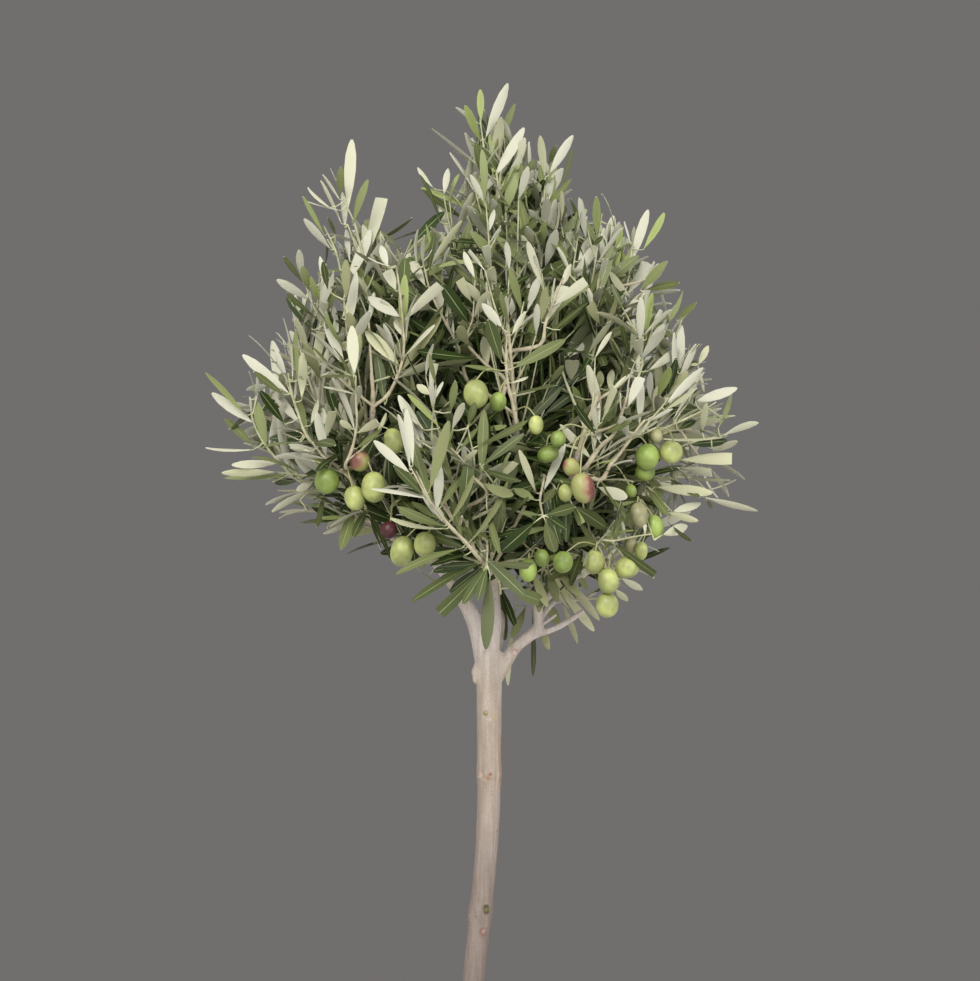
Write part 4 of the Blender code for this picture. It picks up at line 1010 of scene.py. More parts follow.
class Leaf:
    """One leaf's place, pose, size and tone slots, which carry painted shade and light."""

    def __init__(self, root, way, face, length, rng, tones_with_shade):
        self.root, self.way, self.face, self.length = root, way, face, length
        self.width = length * rng.uniform(*LEAF_WIDTHS)
        self.bend = rng.uniform(*LEAF_BENDS)
        self.twist = rng.uniform(*LEAF_TWISTS)
        self.cut = rng.uniform(*LEAF_CUTS) if rng.random() < LEAF_CUT_CHANCE else 1.0
        self.tones_with_shade = tones_with_shade


def pick_tones_and_shade(rng, age, point):
    """(upper tone, under tone) for a leaf: young leaves are yellower; painted shade darkens those deep
    inside, and painted light makes those high in the head paler.
    """
    # painted shade: leaves deep inside the outline get darker tone slots
    shade = smoothstep((SHADE_FROM - outline_share(point)) / SHADE_OVER)
    # painted light: leaves high in the head get paler tone slots and less painted shade, as if lit from
    # above
    high = share_of(SHADE_LEVELS, point.z)
    shade *= 1 - SHADE_TOP * high
    mean = UPPER_MEAN + UPPER_PAINTED_LIGHT * high - UPPER_SHADE * shade
    youngest = len(UPPER_TONES_AND_SHADE) - 1
    if age < YOUNG_AGE and rng.random() < YOUNG_CHANCE:
        upper = youngest
    else:
        drawn = rng.gauss(mean, UPPER_SPREAD - UPPER_SPREAD_SHADE * shade)
        upper = min(youngest - 1, int(abs(drawn)))
    drawn = rng.gauss(UNDER_MEAN + UNDER_SHADE * shade, UNDER_SPREAD)
    return upper, min(len(UNDER_TONES_AND_SHADE) - 1, int(abs(drawn)))


def rolled(face, way, angle):
    """A leaf's face turned by an angle round its own way."""
    return face * math.cos(angle) + way.cross(face) * math.sin(angle)


def face_of(point, way, out, rng):
    """The way a leaf's upper side looks: to the shoot's tip and up, and more or less to the head's
    axis, so that undersides look out of the upper head."""
    level = min(max(FACE_UP - FACE_UP_RATE * way.z, FACE_UP_LIMITS[0]), FACE_UP_LIMITS[1])
    outward = outward_at(point)
    share = share_of(FACE_LEVELS, point.z) * share_of(FACE_DEEP, outline_share(point))
    turned_in = between((FACE_LOW, rng.gauss(*FACE_IN)), share)
    turned_in *= 1 - abs(way.dot(outward)) ** 2
    face = way * (1 - level) + UP * level - outward * turned_in
    face = (face - out * face.dot(out)).normalized()
    return rolled(face, out, rng.uniform(-LEAF_ROLL, LEAF_ROLL))


def leaves_on(line, first, limit, rng, space, cover=SIGHT_COVER):
    """Leaves in opposite pairs down a twig from its tip, each pair square to the next. One that
    would leave the head, touch a limb or cover an olive is left out."""
    pairs = max(1, round(length_of(line) * (1 - first) / PAIR_SPACING))
    turn = rng.uniform(0.0, math.pi)
    found = []
    for pair in range(pairs + 1):
        point, way, radius = place_on(line, 1 - (1 - first) * pair / pairs)
        age = TIP_SIZES[pair] if pair < len(TIP_SIZES) else 1.0
        opened = min(1.0, (pair + LEAF_SPREAD_FROM) / LEAF_SPREAD_PAIRS)
        spread = between(LEAF_SPREADS, opened)
        droop = max(0.0, PAIR_DROOP_BELOW - lift_at(point.z))
        for azimuth in (turn, turn + math.pi):
            length = rng.uniform(*LEAF_LENGTHS) * age
            angle = spread + rng.uniform(-LEAF_SPREAD_VARIES, LEAF_SPREAD_VARIES)
            azimuth += rng.uniform(-PAIR_VARIES, PAIR_VARIES)
            out = leaning(way, azimuth, max(LEAF_SPREAD_LEAST, angle))
            out = (out - UP * droop * age * PAIR_DROOP).normalized()
            face = face_of(point, way, out, rng)
            root = point + out * radius * LEAF_SEAT
            leaf = Leaf(root, out, face, length, rng, pick_tones_and_shade(rng, age, point))
            if space.takes_leaf(root, root + out * length, limit, cover):
                found.append(leaf)
        if pair > 1 and rng.random() < BUD_CHANCE:
            found += bud_on(point, way, turn, limit, rng, space)
        turn += math.pi / 2 + rng.uniform(-PAIR_TURN, PAIR_TURN)
    return found


def bud_on(point, way, turn, limit, rng, space):
    """A pair of small leaves in an axil."""
    out = leaning(way, turn, BUD_LEAN)
    pair = []
    for side in (0.0, math.pi):
        leaf_way = leaning(out, turn + math.pi / 2 + side, BUD_SPREAD)
        face = face_of(point, out, leaf_way, rng)
        length = rng.uniform(*BUD_LENGTHS)
        tones_with_shade = pick_tones_and_shade(rng, BUD_AGE, point)
        leaf = Leaf(point + out * MM, leaf_way, face, length, rng, tones_with_shade)
        if space.takes_leaf(leaf.root, leaf.root + leaf_way * length, limit):
            pair.append(leaf)
    return pair


def seen_leaf(row, place, rng):
    """(leaf, spur, place) of a leaf that stands out in the photograph, on a twig's place."""
    x, y, tip_x, tip_y, width, side, *_ = row
    depth = place.y / MM
    root = seen_at(x, y, depth)
    tip = seen_at(tip_x, tip_y, depth)
    apparent = (tip - root).length
    width *= apparent / math.dist((x, y), (tip_x, tip_y))
    swing = math.sqrt(max(0.0, SEEN_LENGTH**2 - apparent**2))
    swing = min(SEEN_DEEPEST * apparent, swing) + rng.uniform(0, SEEN_SWING) * apparent
    pale_and_upright = side[:2] in ("u0", "u1") and tip_y < y
    swing *= -1 if rng.random() < (SEEN_PALE_TOWARD if pale_and_upright else SEEN_TOWARD) else 1
    tip = seen_at(tip_x, tip_y, min(max(root.y + swing, Space.front), Space.back) / MM)
    way = (tip - root).normalized()
    looks = Vector((0.0, -1.0 if side[0] == "o" else 1.0, 0.0))
    face = (looks - way * looks.dot(way)).normalized()
    cut = SEEN_CUT if side.endswith("c") else 1.0
    length = (tip - root).length / cut
    real = max(width, SEEN_WIDTH * length)
    shown = min(1.0, width / real)
    roll = math.acos(shown) * rng.choice((-1, 1)) + rng.uniform(*SEEN_ROLLS) * shown
    face = rolled(face, way, roll)
    # a seen leaf's named tone is partly painted shade, darker where it hangs in shadow
    if side[0] == "o":
        tones_with_shade = int(side[1]), min(SEEN_HIDDEN, int(abs(rng.gauss(0, 1))))
    else:
        tones_with_shade = rng.randrange(SEEN_HIDDEN), int(side[1])
    leaf = Leaf(root, way, face, length, rng, tones_with_shade)
    leaf.width, leaf.cut = real, cut
    leaf.bend = rng.uniform(*SEEN_BENDS)
    back = leaf.bend * SEEN_SET_BACK
    leaf.way = way * math.cos(back) + face * math.sin(back)
    leaf.face = face * math.cos(back) - way * math.sin(back)
    SIGHT.add(root, tip, width / 2)
    spur = None
    if (root - place).length > SEEN_STALK:
        middle = place.lerp(root, SEEN_STALK_ELBOW)
        middle -= way * (root - place).length * SEEN_STALK_BOW
        spur = tapered([place, middle, root], *SEEN_STALK_RADII)
    return leaf, spur, place


def trimmed(line, roots):
    """The line up to the last thing that grows on it, or None where nothing does."""
    last = -1
    for index, (point, _) in enumerate(line):
        if any((root - point).length < TWIG_TRIM for root in roots):
            last = index
    return line[: last + 2] if last > 0 else None


def pruned(bearing):
    """The twigs of (line, kind, what grows on it), the finest first, each cut back to what it bears."""
    twigs, starts = [], []
    for wanted in ("shoot", "leader", "lateral", "stem"):
        for line, kind, roots in bearing:
            if kind == wanted:
                line = trimmed(line, roots + (starts if kind != "shoot" else []))
                if line:
                    bare = kind == "leader" and line[0][1] > BARE_LEADER_RADIUS
                    twigs.append((line, "bare" if bare else kind))
                    starts.append(line[0][0])
    return twigs


def grow(name, lines, stems, leaders):
    """(twigs, leaves) of a mass. Twigs are (line, kind)."""
    space = Space(name, lines, stems)
    rng = random.Random(GROWTH_SEED + MASSES[name][4])
    bough = lines[MASSES[name][0]]
    wood = [(stems[name], "stem")]
    for line in lateral_lines(name, stems[name], space):
        if not hides(through(line, TWIG_STEP), TWIG_COVER):
            wood.append((line, "lateral"))
    leafy = [(through(line, TWIG_STEP), kind, FIRST_LEAF[kind], 1.0) for line, kind in wood]
    spots = [point for line, *_ in leafy for point, _ in line]
    spots += [point for point, _ in through(bough, BOUGH_STEP) if point.z > BOUGH_ROOT_LEVEL]
    for line, kind in [(bough, "bough"), *wood]:
        for steps, inner in ((SHOOTS, False), (INNER_SHOOTS, True)):
            for shoot, limit in shoots_on(line, steps[kind], rng, space, inner):
                leafy.append((through(shoot, TWIG_STEP), "shoot", FIRST_LEAF["shoot"], limit))
    leaves, spurs, joints = [], [], {}
    for leader in leaders:
        leader.grow_from(spots)
        limit = LEADER_LIMIT if leader.front else 1.0
        leafy.append((leader.line, "leader", leader.first, limit))
        count = round((leader.places[-1] - leader.places[0]).length / SIDE_SHOOT_STEP)
        for side in side_shoots(leader.line, leader.first, count, rng):
            leafy.append((through(side, TWIG_STEP), "shoot", FIRST_LEAF["shoot"], limit))
        leaves += [leaf for leaf, _, _ in leader.seen]
        spurs += [(spur, "shoot") for _, spur, _ in leader.seen if spur]
        joints[id(leader.line)] = [place for _, _, place in leader.seen]
    bearing = []
    for line, kind, first, limit in leafy:
        cover = LEADER_COVER if kind == "leader" else SIGHT_COVER
        found = leaves_on(line, first, limit, rng, space, cover)
        leaves += found
        bearing.append((line, kind, [leaf.root for leaf in found] + joints.get(id(line), [])))
    return pruned(bearing) + spurs, leaves


def all_leaders():
    """The leaders that the photograph shows, and the front ones again at the back."""
    found = []
    for first, last, radius, *pixels in LEADERS:
        most = len(pixels) - 1
        places = [seen_at(*pixel, first + (last - first) * i / most) for i, pixel in enumerate(pixels)]
        found.append(Leader(places, radius * MM, True))
        if -last > BACK_LEADER_FROM:
            turned = [Vector((place.x, -place.y * BACK_LEADER_DEPTH, place.z)) for place in places]
            found.append(Leader(turned, radius * MM, False))
    return found


def mark_what_stands_out(front, lines):
    """Notes the thick leaders, the olives and the bare limbs that leaves and twigs mustn't cover."""
    for leader in front:
        for start, end in zip(leader.places, leader.places[1:]):
            if leader.radius > BARE_LEADER_RADIUS:
                SIGHT.add(start, end, leader.radius)
    for centre, width, length, _ in fruit_rows()[: len(SEEN_FRUIT)]:
        OLIVE_SIGHT.add(centre - UP * length / 2, centre + UP * length / 2, width / 2)
    for name, top in BARE_LIMBS.items():
        line = lines[name]
        for (start, radius), (end, _) in zip(line, line[1:]):
            if start.z < top * MM:
                SIGHT.add(start, end, radius)


def leaders_by_mass(lines):
    """Each leader goes to the mass whose ball it is deepest in. The leaves that stand out go to the
    leader that is nearest in the photograph."""
    rng = random.Random(SEEN_SEED)
    leaders = all_leaders()
    front = [leader for leader in leaders if leader.front]
    mark_what_stands_out(front, lines)
    for row in SEEN_LEAVES:
        depth = row[SEEN_DEPTH:]
        near = [leader for leader in front if not depth or leader.at_depth(*depth)]
        leader = min(near, key=lambda shoot: shoot.distance(row[:2])[0])
        leader.seen.append(seen_leaf(row, leader.distance(row[:2])[1], rng))
    found = {name: [] for name in MASSES}
    for leader in leaders:
        middle = leader.places[0].lerp(leader.places[-1], LEADER_MIDDLE)
        depth = {name: (middle - Vector(row[1]) * MM).length - row[2] * MM for name, row in MASSES.items()}
        found[min(depth, key=depth.get)].append(leader)
    return found


# ------------------------------------------------------------------ meshes


def mesh_object(name, mesh, materials, smooth_degrees=None):
    """A piece of the scene. Its edges are smooth up to so many degrees, or else all sharp."""
    for made in materials:
        mesh.materials.append(made)
    if smooth_degrees:
        mesh.shade_smooth()
        mesh.set_sharp_from_angle(angle=math.radians(smooth_degrees))
    piece = bpy.data.objects.new(name, mesh)
    bpy.context.scene.collection.objects.link(piece)
    return piece


def mesh_from(name, points, faces, slots=None):
    """A mesh of points and faces, with a material slot for each face."""
    mesh = bpy.data.meshes.new(name)
    mesh.from_pydata([tuple(point) for point in points], [], faces)
    if slots is not None:
        mesh.polygons.foreach_set("material_index", slots)
    mesh.update()
    return mesh


def band(low, sides, inward=False):
    """The quads between the ring of points that starts at low and the next ring."""
    found = []
    for i in range(sides):
        a, b = low + i, low + (i + 1) % sides
        found.append((a, a + sides, b + sides, b) if inward else (a, b, b + sides, a + sides))
    return found


LEAF_ACROSS = (-1.0, -0.55, -LEAF_RIB, LEAF_RIB, 0.55, 1.0, 0.0)
LEAF_UPPER = 6  # how many of those points are on the upper side, margins included
LEAF_RIB_COLUMN = 2
LEAF_SHAPE = (0.85, 0.58)  # how full a blade is towards its foot and its tip
LEAF_WIDEST = (0.594, 0.406)  # where it is widest, from its foot and from its tip
LEAF_BEND_LATE = 1.3
LEAF_HALF_LEAST = 0.18 * MM
LEAF_STALK_END = LEAF_PETIOLE * 1.01
LEAF_THIN, LEAF_KEEL = 1.2, 1.7  # thickness at most, of the half width, and at the rib, of the rest
UPPER_SLOT, UNDER_SLOT = 0, len(UPPER_TONES_AND_SHADE)
RIB_SLOT = UNDER_SLOT + len(UNDER_TONES_AND_SHADE)


def leaf_outline(share):
    """Half width of a blade at a share of its length, where the widest place is 1."""
    blade = np.clip((share - LEAF_PETIOLE) / (1 - LEAF_PETIOLE), 0.0, 1.0)
    foot, tip = LEAF_SHAPE
    shape = blade**foot * (1 - blade) ** tip / (LEAF_WIDEST[0] ** foot * LEAF_WIDEST[1] ** tip)
    return np.maximum(shape, np.where(blade > 0.5, LEAF_BLUNT, 0.0))


def leaf_points(leaves):
    """The points of every leaf, ring after ring from its root. Each bends, twists and folds."""
    root, way, face = (np.array([getattr(leaf, key) for leaf in leaves]) for key in ("root", "way", "face"))
    length, width, bend, twist, cut = np.array(
        [(leaf.length, leaf.width, leaf.bend, leaf.twist, leaf.cut) for leaf in leaves]
    ).T
    edge = np.cross(way, face)
    shares = np.array(LEAF_RINGS)[None, :] * cut[:, None]
    angle = bend[:, None] * shares**LEAF_BEND_LATE
    along = way[:, None] * np.cos(angle)[..., None] - face[:, None] * np.sin(angle)[..., None]
    up = face[:, None] * np.cos(angle)[..., None] + way[:, None] * np.sin(angle)[..., None]
    steps = np.diff(shares, axis=1)[..., None] * length[:, None, None]
    centre = np.zeros((len(leaves), len(LEAF_RINGS), 3))
    centre[:, 1:] = np.cumsum((along[:, 1:] + along[:, :-1]) / 2 * steps, axis=1)
    centre += root[:, None]
    turn = twist[:, None] * shares
    side = edge[:, None] * np.cos(turn)[..., None] + up * np.sin(turn)[..., None]
    lift = up * np.cos(turn)[..., None] - edge[:, None] * np.sin(turn)[..., None]
    half = np.maximum(leaf_outline(shares) * width[:, None] / 2, LEAF_HALF_LEAST)
    half = np.where(shares < LEAF_STALK_END, LEAF_PETIOLE_WIDTH / 2, half)
    across_ = np.array(LEAF_ACROSS)[None, None, :]
    height = half[..., None] * (LEAF_FOLD * np.abs(across_) - LEAF_CURL * across_**4)
    under = np.arange(len(LEAF_ACROSS)) >= LEAF_UPPER
    thick = np.minimum(LEAF_THICKNESS, half * LEAF_THIN)[..., None]
    keel = np.where(np.abs(across_) < LEAF_RIB, LEAF_KEEL, 1.0)
    height = height - np.where(under[None, None, :], thick * keel, 0.0)
    sideways = side[:, :, None] * (half[..., None] * across_)[..., None]
    return (centre[:, :, None] + sideways + lift[:, :, None] * height[..., None]).reshape(-1, 3)


def leaf_faces():
    """The faces of one leaf and the column across it of each: -1 is its stalk and root."""
    rings, ring = len(LEAF_RINGS), len(LEAF_ACROSS)
    faces, columns = [], []
    for i in range(rings - 1):
        faces += band(i * ring, ring)
        columns += list(range(ring)) if i else [-1] * ring
    faces += [tuple(range(ring)), tuple(range(rings * ring - 1, (rings - 1) * ring - 1, -1))]
    return faces, np.array(columns + [-1, LEAF_UPPER])


def leaf_mesh(name, leaves):
    """All the leaves of a mass in one mesh, each a thin closed blade with its own slots."""
    points = leaf_points(leaves)
    faces, columns = leaf_faces()
    # the tone slots carry painted shade and light as well as each leaf's own colour
    upper = np.array([leaf.tones_with_shade[0] for leaf in leaves])[:, None] + UPPER_SLOT
    below = np.array([leaf.tones_with_shade[1] for leaf in leaves])[:, None] + UNDER_SLOT
    slots = np.where(columns >= LEAF_UPPER - 1, below, upper)
    slots = np.where((columns == LEAF_RIB_COLUMN) | (columns == -1), RIB_SLOT, slots)
    loops = np.array([vertex for face in faces for vertex in face])
    starts = np.cumsum([0] + [len(face) for face in faces[:-1]])
    offsets = np.arange(len(leaves))[:, None]
    all_loops = (loops + offsets * len(LEAF_RINGS) * len(LEAF_ACROSS)).ravel()
    all_starts = (starts + offsets * len(loops)).ravel()
    mesh = bpy.data.meshes.new(name)
    mesh.vertices.add(len(points))
    mesh.vertices.foreach_set("co", points.ravel())
    mesh.loops.add(len(all_loops))
    mesh.loops.foreach_set("vertex_index", all_loops)
    mesh.polygons.add(len(all_starts))
    mesh.polygons.foreach_set("loop_start", all_starts)
    mesh.polygons.foreach_set("material_index", slots.ravel())
    mesh.update(calc_edges=True)
    mesh.validate()
    return mesh


def tube_into(points, faces, line, sides):
    """Adds a closed tube along the line to the points and faces."""
    base = len(points)
    side = across(direction_at(line, 0))[0]
    for index, (centre, radius) in enumerate(line):
        along = direction_at(line, index)
        side = (side - along * side.dot(along)).normalized()
        other = along.cross(side)
        for i in range(sides):
            angle = math.tau * i / sides
            points.append(centre + (side * math.cos(angle) + other * math.sin(angle)) * radius)
    faces.append(tuple(base + i for i in reversed(range(sides))))
    last = base + (len(line) - 1) * sides
    faces.append(tuple(last + i for i in range(sides)))
    for ring in range(len(line) - 1):
        faces += band(base + ring * sides, sides)


TWIG_JOINT_EVERY = 3  # points of its line
TWIG_JOINT, TWIG_BETWEEN = 1.22, 0.96  # of its radius
TWIG_SIDES, STEM_SIDES = 6, 8


def twig_mesh(name, twigs):
    """All the twigs of a mass, with swollen joints."""
    points, faces, slots = [], [], []
    for line, kind in twigs:
        swollen = []
        for index, (point, radius) in enumerate(line):
            swell = TWIG_BETWEEN if index % TWIG_JOINT_EVERY else TWIG_JOINT
            swollen.append((point, radius * swell))
        tube_into(points, faces, swollen, STEM_SIDES if kind in ("stem", "bare") else TWIG_SIDES)
        slots += [1 if kind in ("shoot", "leader") else 0] * (len(faces) - len(slots))
    return mesh_from(name, points, faces, slots)


# ------------------------------------------------------------------ fruit


OLIVE_TOP, OLIVE_POINT = 0.47, 0.515  # of the length: a flat top and a small point
OLIVE_FULL = 0.92  # below 1, the sides are fuller than an ellipse
OLIVE_TILT = 0.35
STALK_SEAT = 0.46  # of the olive's length
STALK_ELBOW, STALK_RISE = 0.55, 0.006
STALK_STEP = 0.004


def olive_points(centre, width, length, axis):
    """Rings of points of an olive whose stalk end points along the axis."""
    side, other = across(axis)
    found = [centre + axis * length * OLIVE_TOP]
    for ring in range(1, FRUIT_RINGS):
        angle = math.pi * ring / FRUIT_RINGS
        out = math.sin(angle) ** OLIVE_FULL * width / 2
        up = math.cos(angle) * length / 2
        for i in range(FRUIT_SIDES):
            turn = math.tau * i / FRUIT_SIDES
            found.append(centre + axis * up + (side * math.cos(turn) + other * math.sin(turn)) * out)
    found.append(centre - axis * length * OLIVE_POINT)
    return found


def olive_faces(base):
    """The faces of an olive whose points start at base."""
    last = base + 1 + (FRUIT_RINGS - 1) * FRUIT_SIDES
    found = []
    for i in range(FRUIT_SIDES):
        j = (i + 1) % FRUIT_SIDES
        found.append((base, base + 1 + i, base + 1 + j))
        for ring in range(FRUIT_RINGS - 2):
            low = base + 1 + ring * FRUIT_SIDES
            found.append((low + i, low + FRUIT_SIDES + i, low + FRUIT_SIDES + j, low + j))
        low = last - FRUIT_SIDES
        found.append((low + i, last, low + j))
    return found


def fruit_mesh(twigs):
    """Every olive and its stalk, hung from the nearest twig."""
    rng = random.Random(FRUIT_SEED)
    spots = [point for line, _ in twigs for point, _ in line]
    points, faces, slots = [], [], []
    tints = list(FRUIT_TINTS)
    for centre, width, length, tint in fruit_rows():
        tilt = [rng.uniform(-OLIVE_TILT, OLIVE_TILT) for _ in range(2)]
        axis = (UP + Vector((*tilt, 0.0))).normalized()
        top = centre + axis * length * STALK_SEAT
        spot = min(spots, key=lambda place: (place - top).length + max(0.0, top.z - place.z))
        base = len(points)
        points += olive_points(centre, width, length, axis)
        faces += olive_faces(base)
        slots += [tints.index(tint)] * (len(faces) - len(slots))
        if (spot - top).length < STALK_LONGEST:
            elbow = spot.lerp(top, STALK_ELBOW) + axis * STALK_RISE
            stops = [(place, STALK_RADIUS) for place in (spot, elbow, top - axis * MM)]
            tube_into(points, faces, through(stops, STALK_STEP), TWIG_SIDES)
            slots += [len(tints)] * (len(faces) - len(slots))
    return mesh_from("olives", points, faces, slots)


# ------------------------------------------------------------------ bark


BARK_VOXEL = 1.3 * MM
# The knot is an old collar of three lumps: shift in millimetres, size
KNOT_LUMPS = (((0.6, 0.4, 2.6), 0.86), ((0.8, 0.0, -3.2), 0.76), ((1.6, 1.2, 8.0), 0.70))
KNOT_LENGTH = 2.6  # of the radius
TRUNK_SIDES, LIMB_SIDES = 32, 16
SMOOTH_SHARE, SMOOTH_TIMES = 0.5, 4
BARK_PLUMP = 0.20 * MM  # what smoothing takes off again
BARK_STEP = 0.004
# Base colours by height, with painted shade: darker towards the foot and on the limbs above the
# fork, palest at the fork; and patterns that darken or lighten them: scale, detail, stretch, tints
BARK_SHADED_TONES = (
    (0.25, (0.200, 0.163, 0.146)),
    (0.40, (0.262, 0.217, 0.196)),
    (0.52, (0.392, 0.332, 0.290)),
    (0.60, (0.458, 0.397, 0.348)),
    (0.65, (0.536, 0.478, 0.450)),
    (0.73, (0.480, 0.428, 0.385)),
)
BARK_PATTERNS = (
    (30.0, 3.0, 0.45, (0.85, 0.82, 0.78), (1.09, 1.11, 1.13)),
    (300.0, 4.0, 0.06, (0.85, 0.84, 0.82), (1.11, 1.11, 1.10)),
    (1100.0, 3.0, 0.50, (0.88, 0.87, 0.85), (1.07, 1.07, 1.07)),
)
# Marks on the front of the bark: pixel of the photograph, radius in millimetres, tint, strength
BARK_MARKS = (
    (485.6, 712, 2.6, (0.150, 0.140, 0.060), 0.75),
    (486, 711, 1.0, (0.520, 0.470, 0.130), 0.80),
    (495, 716, 3.6, (0.420, 0.300, 0.195), 0.55),
    (490, 718, 2.0, (0.600, 0.520, 0.430), 0.25),
    (490, 772, 2.2, (0.230, 0.100, 0.050), 0.85),
    (488.5, 776, 2.5, (0.300, 0.160, 0.085), 0.70),
    (481, 774, 2.8, (0.560, 0.440, 0.330), 0.55),
    (478, 773, 1.4, (0.210, 0.160, 0.120), 0.55),
    (485, 778, 2.2, (0.480, 0.290, 0.190), 0.50),
    (499.5, 736, 3.4, (0.330, 0.210, 0.130), 0.40),
    (500, 742, 4.0, (0.320, 0.195, 0.115), 0.45),
    (500, 748, 4.2, (0.310, 0.185, 0.105), 0.45),
    (500, 754, 4.2, (0.300, 0.170, 0.090), 0.50),
    (500, 760, 4.2, (0.300, 0.170, 0.090), 0.50),
    (500, 766, 4.0, (0.300, 0.165, 0.085), 0.50),
    (500, 772, 4.0, (0.290, 0.150, 0.070), 0.55),
    (499.5, 778, 3.6, (0.290, 0.150, 0.070), 0.55),
    (499.5, 785, 3.2, (0.320, 0.190, 0.110), 0.40),
    (497, 830, 1.3, (0.300, 0.140, 0.060), 0.80),
    (486, 905, 3.0, (0.050, 0.050, 0.018), 0.85),
    (486, 909, 3.0, (0.050, 0.050, 0.018), 0.85),
    (486, 907, 1.9, (0.150, 0.140, 0.045), 0.90),
    (476.3, 910, 1.3, (0.150, 0.105, 0.100), 0.60),
    (476.5, 914, 1.3, (0.150, 0.105, 0.100), 0.60),
    (483, 929, 3.8, (0.190, 0.080, 0.060), 0.65),
    (483.6, 928.5, 2.1, (0.330, 0.250, 0.215), 0.70),
    (515, 651, 3.2, (0.360, 0.150, 0.140), 0.55),
    (514.4, 652, 2.1, (0.560, 0.450, 0.410), 0.85),
    (474, 675, 5.0, (0.640, 0.570, 0.520), 0.45),
)
BARK_MARK_WARP = 0.0022
# Old scars that stand up as low rings: pixel, radius and height in millimetres
BARK_SCARS = (
    (483, 929, 3.4, 0.8), (515, 651, 2.9, 0.7), (495, 716, 3.0, 0.6), (486, 907, 3.6, 0.6),
    (490, 774, 2.6, 0.7), (480, 775, 3.0, 0.8), (499, 776, 2.6, 0.7), (469, 917, 2.6, 0.6),
)
SCAR_SPREAD = 1.1 * MM
# Relief from noise: scales, how the lumps are drawn out along Z, and heights
LUMP_SCALE, LUMP_STRETCH, LUMP_HEIGHT = 70, 0.6, 0.30 * MM
WRINKLE_SCALES, WRINKLE_HEIGHT = (420, 60), 0.16 * MM  # across and up
GRAIN_SCALE, GRAIN_HEIGHT = 900, 0.07 * MM
ROUGHER, ROUGHER_OVER = 0.8, 0.25  # how much rougher the foot is, and how far under the fork


def on_bark(across_, down, lines):
    """The place on the front of the bark at a pixel of the photograph."""
    best = None
    for name in BARE_LIMBS:
        for point, radius in through(lines[name], BARK_STEP):
            place = seen_at(across_, down, point.y / MM)
            apart = (place - point).length
            if best is None or apart - radius < best[0]:
                depth = math.sqrt(max(0.0, radius**2 - apart**2))
                best = apart - radius, place - Vector((0.0, depth, 0.0))
    return best[1]


def bark_mesh(lines):
    """Trunk, limbs and boughs grown together, with the bark's relief."""
    points, faces = [], []
    fine = {"trunk": trunk_line(BARK_STEP)}
    for name, line in lines.items():
        if name != "trunk":
            fine[name] = through(line, BARK_STEP)
    for name, line in fine.items():
        plump = [(point, radius + BARK_PLUMP) for point, radius in line]
        tube_into(points, faces, plump, TRUNK_SIDES if name == "trunk" else LIMB_SIDES)
    for shift, size in KNOT_LUMPS:
        base = len(points)
        centre = Vector(KNOT) * MM + Vector(shift) * MM
        points += olive_points(centre, 2 * size * KNOT_RADIUS, KNOT_LENGTH * size * KNOT_RADIUS, UP)
        faces += olive_faces(base)
    rough = mesh_object("rough_bark", mesh_from("rough_bark", points, faces), [])
    remesh = rough.modifiers.new("remesh", "REMESH")
    remesh.mode = "VOXEL"
    remesh.voxel_size = BARK_VOXEL
    smooth = rough.modifiers.new("smooth", "SMOOTH")
    smooth.factor = SMOOTH_SHARE
    smooth.iterations = SMOOTH_TIMES
    graph = bpy.context.evaluated_depsgraph_get()
    mesh = bpy.data.meshes.new_from_object(rough.evaluated_get(graph))
    bpy.data.objects.remove(rough)
    relief(mesh, lines)
    mesh.name = "bark"
    return mesh


def relief(mesh, lines):
    """Lumps, lengthwise wrinkles and grain, moved out along the normals."""
    count = len(mesh.vertices)
    places = np.empty(count * 3)
    normals = np.empty(count * 3)
    mesh.vertices.foreach_get("co", places)
    mesh.vertices.foreach_get("normal", normals)
    places, normals = places.reshape(-1, 3), normals.reshape(-1, 3)
    moves = np.empty(count)
    wide, high = WRINKLE_SCALES
    for i, (x, y, z) in enumerate(places):
        lump = noise.noise(Vector((x, y, z * LUMP_STRETCH)) * LUMP_SCALE)
        wrinkle = noise.noise(Vector((x * wide, y * wide, z * high)))
        grain = noise.noise(Vector((x, y, z)) * GRAIN_SCALE)
        rough = 1.0 + ROUGHER * smoothstep((FORK_HEIGHT - z) / ROUGHER_OVER)
        moves[i] = LUMP_HEIGHT * lump + (WRINKLE_HEIGHT * wrinkle + GRAIN_HEIGHT * grain) * rough
    for across_, down, radius, height in BARK_SCARS:
        away = np.linalg.norm(places - np.array(on_bark(across_, down, lines)), axis=1)
        moves += height * MM * np.exp(-(((away - radius * MM) / SCAR_SPREAD) ** 2))
    places += normals * moves[:, None]
    mesh.vertices.foreach_set("co", places.ravel())
    mesh.update()


# ------------------------------------------------------------------ pot and soil


POT_SIDES, POT_STEP = 96, 0.004
POT_AXIS, POT_FLOOR = 0.004, 0.019  # how near to the axis the profile ends, and at what height inside
THROW_SCALE, THROW_HEIGHT = 160, 0.35 * MM
THROW_FROM, THROW_TO = 0.01, POT_HEIGHT - 0.006
POT_INSET, POT_INSET_FROM = 0.4 * MM, 0.02  # keeps the rings within the solid, but not at the axis


def turned_points(profile, sides):
    """A ring of points for each (radius, height)."""
    points = []
    for radius, height in profile:
        for side in range(sides):
            angle = math.tau * side / sides
            points.append((radius * math.cos(angle), radius * math.sin(angle), height))
    return points


def turned_mesh(name, profile, sides):
    """A closed turned mesh. The profile starts and ends near the axis."""
    points = turned_points(profile, sides)
    faces = [tuple(reversed(range(sides))), tuple(range(len(points) - sides, len(points)))]
    for ring in range(len(profile) - 1):
        faces += band(ring * sides, sides)
    return mesh_from(name, points, faces)


